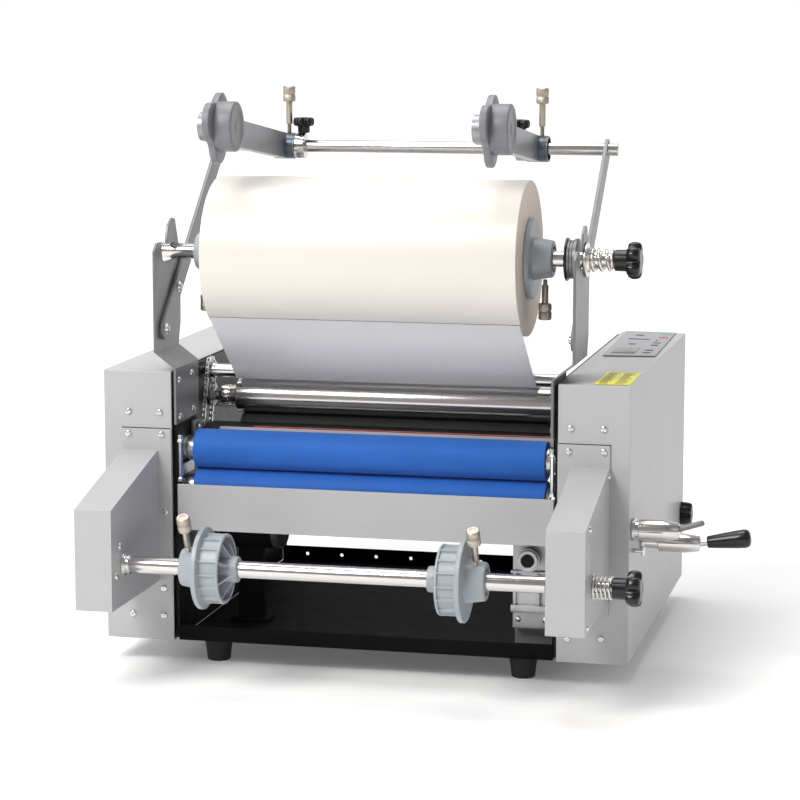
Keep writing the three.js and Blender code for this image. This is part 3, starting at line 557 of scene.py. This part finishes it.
def build_chain():
    """Pins with two side links from each to the next, every other pair further apart."""
    bm = bmesh.new()
    points = list(chain_path())
    for i, here in enumerate(points):
        there = points[(i + 1) % CHAIN_PINS]
        loft(bm, [(-207.9, 0), (-207.9, 1.65), (-203.7, 1.65), (-203.7, 0)],
             at(0, here.x, here.y), sides=12)
        for side in (-1, 1):
            x = CHAIN_X + side * (1.2 if i % 2 else 1.75)
            outline = list(link_outline(here, there))
            front = [bm.verts.new(at(x - 0.25, p.x, p.y)) for p in outline]
            back = [bm.verts.new(at(x + 0.25, p.x, p.y)) for p in outline]
            join_outlines(bm, front, back)
    add_mesh("chain_links", bm, "steel", "frame", ("drive_chain",))


# ---- film roll ----------------------------------------------------------------------------------
def build_film_roll():
    low, high = box_mm("film_roll")
    radius = (high.z - low.z) / 2
    origin = at(0, *axis_mm("film_roll"))
    core = 43.0
    skin = [(low.x + 0.5, core), (low.x + 0.5, radius - 0.5), (low.x + 1.0, radius),
            (high.x - 1.0, radius), (high.x - 0.5, radius - 0.5), (high.x - 0.5, core)]
    roll = lathe("film_roll_layers", skin, origin, X_AXIS, "film", "film_supply", 160, True)
    roll.data.materials.append(LOOK["film_end"])
    for polygon in roll.data.polygons:
        if abs(polygon.normal.x) > 0.9:
            polygon.material_index = 1
    wall = [(low.x, 38.3), (low.x, core - 0.05), (high.x, core - 0.05), (high.x, 38.3)]
    lathe("film_roll_core", wall, origin, X_AXIS, "card", "film_supply", 96, True)
    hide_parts("film_roll")


# ---- core chucks --------------------------------------------------------------------------------
def panels(radius, count=16, depth=2.4, rib=0.1):
    """A drum outline with shallow panels between narrow ribs."""
    def outline(angle):
        t = (angle / TAU * count) % 1.0
        edge = min(t, 1 - t)
        return radius if edge < rib / 2 else radius - depth * min(1, (edge - rib / 2) / 0.05)
    return outline


def build_chuck(name, node, body, axis, nose, outward, shaft_radius):
    """A core chuck: a tapered nose, a ribbed drum open toward the nose with webs in it, a lip and
    a clamp hub with blocks in its end groove. Heights run from the nose outwards along X."""
    origin = at(nose, *axis)
    along = X_AXIS * outward
    bore = shaft_radius + 0.05
    bm = bmesh.new()
    rings = [(0, bore), (0, 13.0), (0.8, 13.8), (13, 14.4), (34, 16.0), (34, 33.2), (13.6, 33.8),
             (13.0, 34.6), (13.0, 36.2), (13.6, 37.2), (15.6, 37.7), (16.6, panels(37.7)),
             (33.8, panels(37.7)), (34.8, 37.7), (35.4, 38.5), (35.6, 43.2), (36.4, 44),
             (40.2, 44), (41, 43.2), (41, 24.2), (41.8, 23.2), (60.6, 20.2), (61.6, 19.6),
             (62, 18.8), (62, 14.6), (58.6, 14.2), (58.6, 11.4), (62, 11.0), (62, bore)]
    loft(bm, rings, origin, along, sides=320, closed=True)
    turn = Matrix.Translation(origin) @ frame_of(along)
    web = ((13.2, 6.0), (34.0, 16.0), (34.0, 34.4), (13.2, 34.4))
    for i in range(8):
        spin = turn @ Matrix.Rotation(TAU * (i + 0.5) / 8, 4, "Z")
        sides = [[bm.verts.new(spin @ Vector((r * MM, y * MM, h * MM))) for r, h in web]
                 for y in (-1.1, 1.1)]
        join_outlines(bm, *sides)
    add_mesh(name, bm, "chuck", body, (node,))
    bm = bmesh.new()
    for i in range(8):
        spin = turn @ Matrix.Rotation(TAU * i / 8, 4, "Z")
        corners = ((12.2, -1.8), (14.0, -1.8), (14.0, 1.8), (12.2, 1.8))
        low, high = ([bm.verts.new(spin @ (Vector((x, y, h)) * MM)) for x, y in corners]
                     for h in (58.7, 61.2))
        join_outlines(bm, high, low)
    add_mesh(f"{name}_webs", bm, "chuck", body)


# ---- knobs, thumb screws, springs ---------------------------------------------------------------
def lobed(radius, lobes, depth):
    return lambda angle: radius - depth * (0.5 - 0.5 * math.cos(lobes * angle)) ** 2.4


def build_star_knob(name, node, origin, direction, hub_radius, hub, grip_radius, grip):
    """A fluted knob: a round hub, then a grip with five deep flutes between flat-topped lobes."""
    depth = grip_radius * 0.3
    full, soft = lobed(grip_radius, 5, depth), lobed(grip_radius * 0.93, 5, depth)
    top = hub + grip
    rings = [(0, 0), (0, hub_radius * 0.94), (0.6, hub_radius), (hub - 0.6, hub_radius * 1.03),
             (hub, lobed(grip_radius * 0.86, 5, depth * 0.8)), (hub + grip * 0.1, soft),
             (hub + grip * 0.3, full), (hub + grip * 0.62, full), (top - grip * 0.12, soft),
             (top - grip * 0.03, lobed(grip_radius * 0.8, 5, depth * 0.7)),
             (top, grip_radius * 0.5), (top - 0.4, grip_radius * 0.42), (top - 0.4, 0)]
    lathe(name, rings, origin, direction, "black", node, 120,
          stands_for=(node,))


def build_shaft_knob(name, node, hub_radius, hub, grip_radius):
    """A star knob along X that fills its CAD node's length."""
    low, high = box_mm(node)
    middle = (low + high) / 2
    build_star_knob(name, node, at(low.x, middle.y, middle.z), X_AXIS, hub_radius, hub,
                    grip_radius, high.x - low.x - hub)


def knurl(radius, ridges=36, depth=0.35):
    return lambda angle: radius - depth * (0.5 + 0.5 * math.cos(ridges * angle))


def build_thumb_screw(name, node, start, direction, thread, shank):
    """A threaded tip, a plain shank and a knurled head with a waist; start is the tip's end."""
    tip, radius, wide, head = 2.6, 3.75, 7.25, 18
    turns = max(3, int(thread / 0.9))
    rings = [(0, 0), (0, tip * 0.8)]
    for i in range(turns):
        h = 0.4 + (thread - 0.6) * i / turns
        rings += [(h, tip), (h + 0.35, tip * 0.84)]
    top = thread + shank
    rings += [(thread, tip), (thread + 0.1, radius * 0.92), (thread + 0.6, radius),
              (top - 0.1, radius), (top, wide * 0.82), (top, 0)]
    end, ridged = top + head, knurl(wide)
    grip = [(top, 0), (top, wide * 0.86), (top + 0.7, wide * 0.97), (top + 0.9, ridged),
            (top + head * 0.42, ridged), (top + head * 0.44, wide * 0.93),
            (top + head * 0.5, wide * 0.93), (top + head * 0.52, ridged), (end - 1.0, ridged),
            (end - 0.8, wide * 0.97), (end, wide * 0.84), (end, wide * 0.5),
            (end - 0.5, wide * 0.44), (end - 0.5, 0)]
    bm = bmesh.new()
    loft(bm, rings, at(*start), direction, sides=40)
    loft(bm, grip, at(*start), direction, sides=144)
    add_mesh(name, bm, "nickel", node, (node,))


def build_spring(name, body, x0, x1, radius0, radius1, turns, axis, wire):
    """A spring along X, its end coils closed."""
    points = []
    count = int(turns * 28)
    for i in range(count + 1):
        t = i / count
        run = min(1, max(0, (t * turns - 0.6) / (turns - 1.2)))
        radius = radius0 + (radius1 - radius0) * run
        angle = TAU * turns * t
        points.append((x0 + (x1 - x0) * run, axis[0] + radius * math.cos(angle),
                       axis[1] + radius * math.sin(angle)))
    bm = bmesh.new()
    tube(bm, points, wire)
    add_mesh(name, bm, "zinc", body)


# ---- assemblies ---------------------------------------------------------------------------------
SUPPLY = axis_mm("supply_shaft")
REWIND = axis_mm("winder_shaft")


def build_chuck_screw(name, node, axis, nose, outward, direction):
    """A chuck's thumb screw, standing on the shaft in the given direction."""
    along, away = CHUCK_SCREW
    start = Vector((nose + outward * along, *axis)) + Vector(direction) * away
    build_thumb_screw(name, node, start, direction, 6, 20)


def build_supply():
    low, high = box_mm("supply_shaft")
    profile = [(low.x, SUPPLY_RADIUS), (240, SUPPLY_RADIUS), (240, 6), (high.x, 6)]
    turned("supply_rod", profile, SUPPLY, "chrome", "film_supply", edge=0.7,
           stands_for=("supply_shaft",))
    for side, out in OUTWARD.items():
        build_chuck(f"film_chuck_body_{side}", f"film_chuck_{side}", "film_supply", SUPPLY,
                    FILM_NOSE[side], out, SUPPLY_RADIUS)
        build_chuck_screw(f"film_thumb_screw_{side}", f"film_screw_{side}", SUPPLY,
                          FILM_NOSE[side], out, (0, 0, -1))
    origin = at(0, *SUPPLY)
    low, high = box_mm("supply_clutch")
    disc = [(low.x, 8.8), (low.x, 23.5), (low.x + 2.2, 23.5), (low.x + 2.2, 8.8)]
    lathe("supply_clutch_disc", rounded(disc, 0.5), origin, X_AXIS, "black", "film_supply", 96,
          True, ("supply_clutch",))
    start = low.x + 2.25
    grooves = [(start, 8.8), (start, 20.6), (start + 0.5, 21.0), (start + 2.6, 21.0),
               (start + 3.0, 19.6), (start + 3.8, 19.6), (start + 4.2, 21.0), (start + 6.0, 21.0),
               (start + 6.4, 20.2), (start + 6.8, 20.2), (start + 7.2, 22.6),
               (high.x - 0.4, 23.0), (high.x, 22.5), (high.x, 8.8)]
    lathe("supply_clutch_ring", grooves, origin, X_AXIS, "bracket", "film_supply", 96, True)
    turned("supply_washer", [(235.3, 19), (237.6, 19), (237.6, 14), (241, 12.4), (241, 9.6)],
           SUPPLY, "zinc", "film_supply", bore=8.8, edge=0.5)
    turned("supply_sleeve", [(241.1, 9.8), (253, 9.8), (253, 7.4), (265.6, 7.4)], SUPPLY,
           "chrome", "film_supply", bore=6.05, edge=0.6)
    build_spring("supply_spring", "film_supply", 243.4, 264.6, 11.6, 10.2, 3.6, SUPPLY, 1.9)
    build_shaft_knob("supply_star", "supply_knob", 11.5, 14, 20.5)


def build_rewind():
    low, high = box_mm("winder_shaft")
    profile = [(low.x, REWIND_RADIUS), (276, REWIND_RADIUS), (276, 6), (high.x, 6)]
    turned("rewind_rod", profile, REWIND, "chrome", "rewind", edge=0.9,
           stands_for=("winder_shaft",))
    lean = Vector((0, -math.sin(0.45), math.cos(0.45)))
    for side, out in OUTWARD.items():
        build_chuck(f"rewind_chuck_body_{side}", f"winder_chuck_{side}", "rewind", REWIND,
                    REWIND_NOSE[side], out, REWIND_RADIUS)
        build_chuck_screw(f"rewind_thumb_screw_{side}", f"winder_screw_{side}", REWIND,
                          REWIND_NOSE[side], out, lean)
    turned("rewind_bush_left", [(-232.2, 12.4), (-230.2, 12.4), (-230.2, 10.6), (-224.6, 10.6)],
           REWIND, "zinc", "frame", bore=9.2)
    turned("rewind_bush_right", [(226.6, 11.5), (232.2, 11.5)], REWIND, "dark", "frame", bore=9.2)
    toothed = lobed(14.2, 18, 1.1)
    washer = [(273.6, 9.3), (273.6, toothed), (275.2, toothed), (275.2, 9.3)]
    lathe("rewind_tooth_washer", washer, at(0, *REWIND), X_AXIS, "zinc", "rewind", 180, True)
    build_spring("rewind_spring", "rewind", 276.8, 294.6, 11.6, 11.6, 5.4, REWIND, 1.2)
    build_shaft_knob("rewind_star", "winder_knob", 11, 15, 19.3)


def build_takeup():
    """The rod over the film, its collars with knobs, the two swinging arms' plugs and screws."""
    low, high = box_mm("top_rod")
    rod = axis_mm("top_rod")
    turned("top_rod_bar", [(low.x, ROD_RADIUS), (high.x, ROD_RADIUS)], rod, "chrome", "frame",
           edge=1.0, stands_for=("top_rod",))
    for side, out in OUTWARD.items():
        collar = sorted((out * 125.1, out * 137.1))
        turned(f"rod_collar_{side}", [(x, 15) for x in collar], rod, "chrome", "frame",
               bore=7.25, edge=0.9)
        hub = sorted((out * 137.5, out * 162.5))
        turned(f"takeup_hub_{side}", [(x, 15.2) for x in hub], rod, "hub",
               f"takeup_arm_{side}", bore=7.65, edge=1.6)
        node = f"collar_knob_{side}"
        low, high = box_mm(node)
        middle = (low + high) / 2
        build_star_knob(f"collar_star_{side}", node, at(middle.x, middle.y, low.z), (0, 0, 1),
                        7, 8, 12.5, 10)
        node = f"takeup_screw_{side}"
        low, high = box_mm(node)
        middle = (low + high) / 2
        build_thumb_screw(f"takeup_thumb_screw_{side}", node, (middle.x, middle.y, low.z),
                          (0, 0, 1), 10, 26)
        build_core_plug(side)


def build_core_plug(side):
    """A smooth drum with a closed end and a three-lobed flange behind it. Heights are those of the
    left plug; the right one is the same part, moved along the rod."""
    node = f"core_plug_{side}"
    rod_y, rod_z = axis_mm("top_rod")
    axis = (rod_y - PLUG_REACH, rod_z + PLUG_RISE)
    start = PLUG_PITCH[side]
    bm = bmesh.new()

    def ring(height, radius, lobes):
        """A ring round X; its lobes, if any, hang down, to the front and up at the back."""
        verts = []
        for i in range(120):
            angle = TAU * i / 120
            lobe = (0.5 - 0.5 * math.cos(3 * (angle + math.radians(75)))) ** 1.5
            r = radius * (1 - 0.34 * lobe) if lobes else radius
            verts.append(bm.verts.new(at(start - height, axis[0] + r * math.cos(angle),
                                         axis[1] + r * math.sin(angle))))
        return verts

    outline = [(131.6, 5.6, 0), (131.6, 20, 0), (131, 21, 0), (131, 25.4, 0), (131.7, 26.6, 0),
               (132.6, 27, 0), (150.6, 27, 0), (151, 26.8, 0), (151, 39.6, 1), (151.6, 40.8, 1),
               (152.4, 41, 1), (157.8, 41, 1), (158.6, 40.3, 1), (159, 39.2, 1), (159, 24, 0),
               (157.4, 22.8, 0), (157.4, 5.6, 0)]
    rings = [ring(*step) for step in outline]
    for one, other in zip(rings, rings[1:] + rings[:1]):
        for i in range(120):
            j = (i + 1) % 120
            bm.faces.new((one[i], one[j], other[j], other[i]))
    add_mesh(f"core_plug_body_{side}", bm, "plug", node, (node,))
    turned(f"core_plug_cap_{side}", sorted([(start - 131.3, 5.5), (start - 131.9, 5.5)]), axis,
           "plug", node, edge=0.1)


# ---- levers, side knob, feet --------------------------------------------------------------------
def build_lever_root(name, node, place, stub, length, radius, tip):
    """A lever's turned root: a stepped stub, then a polished boss that tapers at its outer end."""
    bm = bmesh.new()
    loft(bm, rounded(stub, 0.5), at(0, *place), sides=72)
    boss = [(0, 0), (0, radius - 0.9), (0.6, radius), (length * 0.62, radius),
            (length * 0.66, radius * 0.985), (length - 1.0, tip + 0.4), (length, tip - 0.6),
            (length, 0)]
    loft(bm, boss, at(stub[-1][0], *place), sides=72)
    add_mesh(name, bm, "chrome", node, (node,))


def build_levers():
    """The front lever ends in a bare rod, the rear one in a thin rod with a black grip."""
    foot = HOUSING_SIDE
    stub = [(foot, 0), (foot, 12), (298.6, 12), (298.6, 9), (302.9, 9), (302.9, 0)]
    build_lever_root("front_lever_hub", "front_lever", FRONT_LEVER, stub, 43, 11.3, 8.2)
    lean = Vector((math.cos(0.3), 0, math.sin(0.3)))
    rod = [(4, 0), (4, 3.2), (33, 3.2), (34.6, 2.9), (36, 1.9), (36, 0)]
    lathe("front_lever_rod", rod, at(338, *FRONT_LEVER), lean, "bracket", "front_lever", 24)
    stub = [(foot, 0), (foot, 11), (299, 11), (299, 7), (314, 7), (314, 0)]
    build_lever_root("rear_lever_hub", "rear_lever", REAR_LEVER, stub, 46, 10.5, 8.0)
    lean = Vector((math.cos(0.14), 0, math.sin(0.14)))
    start = at(352, *REAR_LEVER)
    rod = [(4, 0), (4, 4), (17, 4), (17, 0)]
    lathe("rear_lever_rod", rod, start, lean, "steel", "rear_lever", 24)
    grip = [(16, 0), (16, 5.6), (17, 6.6), (24, 7.4), (36, 8.6), (50, 10.0), (57, 10.4),
            (61, 9.6), (63.2, 7.2), (64, 4), (64.2, 0)]
    lathe("rear_lever_grip", grip, start, lean, "black", "rear_lever", 48)


def build_feet():
    for node in ("foot_front_left", "foot_front_right", "foot_rear_left", "foot_rear_right"):
        low, high = box_mm(node)
        middle = (low + high) / 2
        height = high.z - low.z
        profile = [(0, 0), (0, 11.6), (1.2, 13), (height * 0.5, 14.4), (height - 5, 16),
                   (height - 1, 16), (height, 15.4), (height, 0)]
        lathe(f"{node}_rubber", profile, at(middle.x, middle.y, low.z), (0, 0, 1), "rubber",
              "frame", stands_for=(node,))


# ---- screws, painted shade in seams and a bore, and small fittings ------------------------------
def build_screws():
    front = [(-266.3, 0, 285.3), (-230.4, 0, 285), (-264.3, 0, 55.5), (-228, 0, 55.1),
             (230.3, 0, 283.7), (266, 0, 284.2), (265.6, 0, 55.2), (228.5, 0, 53.2)]
    screws("housing_screws", front, (0, -1, 0), "frame", 4.0)
    flange = [(-266, -2.3, 261), (-228, -2.3, 260.5), (-224.4, -2.3, 173.6),
              (-227, -2.3, 86.8), (228.7, -2.3, 259.1), (266.6, -2.3, 259.7)]
    low, high = box_mm("winder_arm_left")
    flange = [(x, y, min(z, high.z - 5.5)) for x, y, z in flange]
    screws("flange_screws", flange, (0, -1, 0), "frame", 4.0)
    arm_left = [(-232.3, -134.8, 161), (-232.3, -147.3, 131)]
    screws("arm_screws_left", arm_left, (1, 0, 0), "frame", 3.6)
    arm_right = [(273.4, -135.4, 202), (273.4, -146.7, 102), (273.4, -8.9, 235)]
    screws("arm_screws_right", arm_right, (1, 0, 0), "frame", 3.6)
    for side, out in OUTWARD.items():
        x = out * BRACKET_SIDE
        places = [(x, 5.5, 321), (x, 51, 323), (x, 7.5, 280), (x, 55, 281.6)]
        screws(f"bracket_screws_{side}", places, (-out, 0, 0), "frame", 3.8)
        x = out * 227.7
        screws(f"rod_arm_screws_{side}", [(x, 20, 376), (x, 68, 418)], (-out, 0, 0), "frame",
               4.6, washer=6.2)
    rear = [(x, 466.5, z) for x in (-284, -228, 228, 284) for z in (60, 190, 315)]
    screws("rear_screws", rear, (0, 1, 0), "frame", 3.6)
    gear = [(165, 52, 60), (195, 52, 60), (165, 52, 108), (195, 52, 108)]
    screws("gearbox_screws", gear, (0, -1, 0), "frame", 3.2)


def build_bearing_blocks():
    """Cast blocks and rings that carry the roller ends inside each side plate, with their bolts.
    x0 and x1 are the low and the high side, foot the high side of the narrow block."""
    for side, x0, x1, foot in (("left", -212, -206.3, -206.7), ("right", 206.3, 212, 212)):
        inward = -OUTWARD[side]
        for name, axis, size, body in (("upper", UPPER_AXIS, 12.5, "upper_pull_carrier"),
                                       ("lower", LOWER_AXIS, 12.5, "frame"),
                                       ("heat", HEAT_AXIS, 13, "frame")):
            ring = [(x0, 7.4), (x0, size), (x1, size), (x1, 7.4)]
            lathe(f"bearing_ring_{name}_{side}", rounded(ring, 0.8), at(0, *axis), X_AXIS,
                  "cast", body, closed=True)
        bm = bmesh.new()
        slab(bm, (x0, 10, 213), (foot, 52, 226), 1.2)
        slab(bm, (x0, 56, 226), (x1, 84, 268), 1.2)
        add_mesh(f"bearing_block_{side}", bm, "cast", "frame")
        face = x1 if side == "left" else x0
        screws(f"bearing_screws_{side}", [(face, 70, 258), (face, 70, 236)], (inward, 0, 0),
               "frame", 3.4)
        bolt = [(0, 0), (0, 4.2), (4, 4.2), (4, 2.4), (44, 2.4), (44, 4.6), (47, 4.6),
                (47, 3.2), (52, 3.2), (52, 0)]
        lathe(f"lift_bolt_{side}", rounded(bolt, 0.4), at(-inward * BRACKET_SIDE, 8.5, 207),
              (0, 0, 1), "zinc", "frame", 6)


def build_cover_front():
    low, high = box_mm("nip_cover")
    block("cover_strip", (low.x + 22, low.y - 2.2, high.z - 8),
          (high.x - 9, low.y - 0.2, high.z + 1.6), "housing", "frame", 0.5)
    block("cover_felt", (low.x + 60, low.y + 0.4, high.z + 0.1),
          (high.x - 9, low.y + 4.4, high.z + 2.6), "felt", "frame", 0.4)


def build_label():
    """A yellow label with plain bars in place of print, on the right housing's top."""
    z = HOUSING_TOP
    block("label_sheet", (254, 6, z), (292, 104, z + 0.35), "label", "frame", 0.12)
    rng = random.Random(7)
    bars, lines = bmesh.new(), bmesh.new()
    for x0, x1 in ((257.5, 271.5), (275, 289)):
        for row in range(15):
            y = 14 + row * 5.6
            width = (x1 - x0) * rng.uniform(0.55, 1.0)
            slab(bars, (x0, y, z + 0.3), (x0 + width, y + 2.0, z + 0.45))
    slab(lines, (257.5, 98.5, z + 0.3), (289, 100.2, z + 0.45))
    slab(lines, (257.5, 8.0, z + 0.3), (289, 9.6, z + 0.45))
    add_mesh("label_bars", bars, "ink", "frame")
    add_mesh("label_lines", lines, "red_ink", "frame")


def build_panel():
    """On the control panel's overlay: a display, keys, lamps and a mark, all blank."""
    top = box_mm("control_panel")[1].z
    block("panel_display", (235, 254, top - 0.1), (262, 302, top + 0.5), "display", "frame", 0.3)
    keys = bmesh.new()
    for x, y, width, depth in ((270, 262, 9, 5), (270, 284, 9, 5), (270, 330, 9, 5),
                               (243, 336, 8, 6), (270, 352, 9, 5), (236, 384, 26, 2.5),
                               (270, 374, 3, 3), (240, 420, 10, 6)):
        slab(keys, (x, y, top - 0.1), (x + width, y + depth, top + 0.6), 0.5)
    add_mesh("panel_keys", keys, "key", "frame")
    lamps = bmesh.new()
    dome = [(0, 0), (0, 1.5), (0.5, 1.5), (0.9, 0.9), (0.9, 0)]
    for x in (272, 276, 280):
        loft(lamps, dome, at(x, 404, top), (0, 0, 1), 24)
    add_mesh("panel_lamps", lamps, "red", "frame")
    block("panel_mark", (268, 440, top - 0.1), (280, 447, top + 0.25), "green", "frame", 0.1)


def build_seam_shade():
    """A near-black strip of painted shade in the seam between a housing's front edge and the arm's
    flange.
    """
    for side, out in OUTWARD.items():
        low, high = box_mm(f"winder_arm_{side}")
        reach = max(abs(low.x), abs(high.x)) + 0.8
        x0, x1 = sorted((out * 217.5, out * reach))
        # a thin near-black strip of painted shade laid in front of the seam
        block(f"flange_seam_shade_{side}", (x0, -0.35, high.z - 1.2), (x1, -0.02, high.z + 0.8),
              "dark", "frame", 0)


def build_motor():
    """The motor's round can with its end caps."""
    low, high = box_mm("motor")
    profile = [(low.x + 0.3, 0), (low.x + 0.3, 27), (low.x + 2.5, 30.3), (low.x + 9, 30.3),
               (low.x + 9.6, 29.2), (high.x - 9.6, 29.2), (high.x - 9, 30.3),
               (high.x - 2.5, 30.3), (high.x - 0.3, 27), (high.x - 0.3, 0)]
    lathe("motor_can", profile, at(0, (low.y + high.y) / 2, high.z - 30), X_AXIS, "motor",
          "frame", 96)


def build_gearbox_casting():
    """The ribs and the round shaft seat on the cast gearbox, and a near-black disc of painted shade in
    the seat's bore.
    """
    bm = bmesh.new()
    slab(bm, (157, 45.5, 68), (202, 52, 77), 2.5)
    slab(bm, (157, 47.5, 112), (202, 52, 115), 1.0)
    slab(bm, (186, 46, 77), (190, 52, 113), 1.0)
    slab(bm, (160, 48, 77), (163, 52, 113), 1.0)
    add_mesh("gearbox_ribs", bm, "cast", "frame")
    front = box_mm("gearbox")[0].y
    seat = [(0, 7.2), (0, 11.4), (3.4, 11.4), (3.4, 7.6), (1.4, 7.2)]
    lathe("gearbox_seat", rounded(seat, 0.4), at(178, front - 0.1, 129), (0, -1, 0), "cast",
          "frame", 72, True)
    # a near-black disc of painted shade that fills the seat's bore
    lathe("gearbox_bore_shade", [(0, 0), (0, 7.0), (0.4, 7.0), (0.4, 0)], at(178, front - 0.2, 129),
          (0, -1, 0), "dark", "frame", 48)


def build_lever_pin():
    """A small bent pin of chromed rod that stands below the front lever."""
    bm = bmesh.new()
    for radius, length, place, direction in ((2.6, 12, (HOUSING_SIDE, 20, 150), X_AXIS),
                                             (2.3, 11, (307, 20, 144.5), (0, 0, 1))):
        rod = [(0, 0), (0, radius), (length, radius), (length, 0)]
        loft(bm, rounded(rod, 0.6), at(*place), direction, 24)
    add_mesh("lever_pin", bm, "chrome", "frame")


# ---- light and floor ----------------------------------------------------------------------------
def area_light(name, place, target, size, power, color=(1, 1, 1)):
    data = bpy.data.lights.new(name, "AREA")
    data.shape = "RECTANGLE"
    data.size = data.size_y = size
    data.energy = power
    data.color = color
    lamp = bpy.data.objects.new(name, data)
    lamp.location = place
    lamp.rotation_euler = (Vector(target) - Vector(place)).to_track_quat("-Z", "Y").to_euler()
    bpy.context.collection.objects.link(lamp)


def ramp_along(tree, direction, stops):
    """A colour for every direction of the world: at 0 of the ramp the one against the given
    direction, at 1 the one along it. stops are (position, colour)."""
    place = add_node(tree, "TexCoord")
    facing = add_node(tree, "VectorMath")
    facing.operation = "DOT_PRODUCT"
    facing.inputs[1].default_value = Vector(direction).normalized()
    level = add_node(tree, "MapRange", From_Min=-1)
    ramp = add_node(tree, "ValToRGB")
    link(tree, place, "Generated", facing, 0)
    link(tree, facing, "Value", level, "Value")
    link(tree, level, "Result", ramp, "Fac")
    elements = ramp.color_ramp.elements
    for (position, color), element in zip((stops[0], stops[-1]), elements):
        element.position, element.color = position, (*color, 1)
    for position, color in stops[1:-1]:
        elements.new(position).color = (*color, 1)
    return ramp


def make_world():
    """A white backdrop behind the machine and a dimmer room elsewhere, which gives the chrome its
    dark lines and the right side its shade."""
    world = bpy.data.worlds.new("world")
    bpy.context.scene.world = world
    world.use_nodes = True
    tree = world.node_tree
    around = ramp_along(tree, (-0.6, 0.8, 0), [(0.0, (0.36, 0.345, 0.34)),
                                               (0.3, (0.38, 0.365, 0.36)),
                                               (0.5, (0.6, 0.59, 0.58)), (0.72, (1.0, 1.0, 1.0))])
    upward = ramp_along(tree, (0, 0, 1), [(0.66, (1.0, 1.0, 1.0)), (0.78, (0.5, 0.5, 0.5)),
                                          (1.0, (0.75, 0.75, 0.75))])
    both = add_node(tree, "Mix")
    both.data_type = "RGBA"
    both.blend_type = "MULTIPLY"
    set_inputs(both, Factor=1)
    background = tree.nodes["Background"]
    link(tree, around, "Color", both, "A")
    link(tree, upward, "Color", both, "B")
    link(tree, both, "Result", background, "Color")
    set_inputs(background, Strength=1.0)
    bpy.context.scene.view_settings.view_transform = "Standard"


def make_floor():
    """A wide white floor. It glows a little far behind the machine, where it meets the backdrop."""
    bpy.ops.mesh.primitive_plane_add(size=60)
    floor = bpy.context.object
    floor.name = "floor"
    material, tree, shader = new_nodes("floor_white")
    set_inputs(shader, Base_Color=(0.93, 0.93, 0.93, 1), Roughness=0.8,
               Emission_Color=(1, 1, 1, 1))
    spot = add_node(tree, "NewGeometry")
    split = add_node(tree, "SeparateXYZ")
    glow = add_node(tree, "MapRange", From_Min=0.2, From_Max=4, To_Min=0.1, To_Max=0.66)
    link(tree, spot, "Position", split, 0)
    link(tree, split, "Y", glow, "Value")
    link(tree, glow, "Result", shader, "Emission Strength")
    floor.data.materials.append(material)


def make_studio():
    make_world()
    area_light("key", (-1.1, -2.0, 2.2), (0, 0, 0.25), 1.3, 68, (1, 0.985, 0.96))
    area_light("fill", (1.9, -1.4, 1.4), (0, 0, 0.25), 1.4, 2)
    area_light("top", (-0.2, 0.3, 2.6), (0, 0, 0.2), 1.6, 34)
    make_floor()


# ---- build --------------------------------------------------------------------------------------
make_camera()
dress_sheet_parts()
build_rollers()
build_guides()
build_chain()
build_film_roll()
build_supply()
build_rewind()
build_takeup()
build_levers()
build_shaft_knob("side_star", "side_knob", 8, 4, 14.5)
build_feet()
build_motor()
build_screws()
build_bearing_blocks()
build_cover_front()
build_label()
build_panel()
build_seam_shade()
build_lever_pin()
build_gearbox_casting()
make_studio()
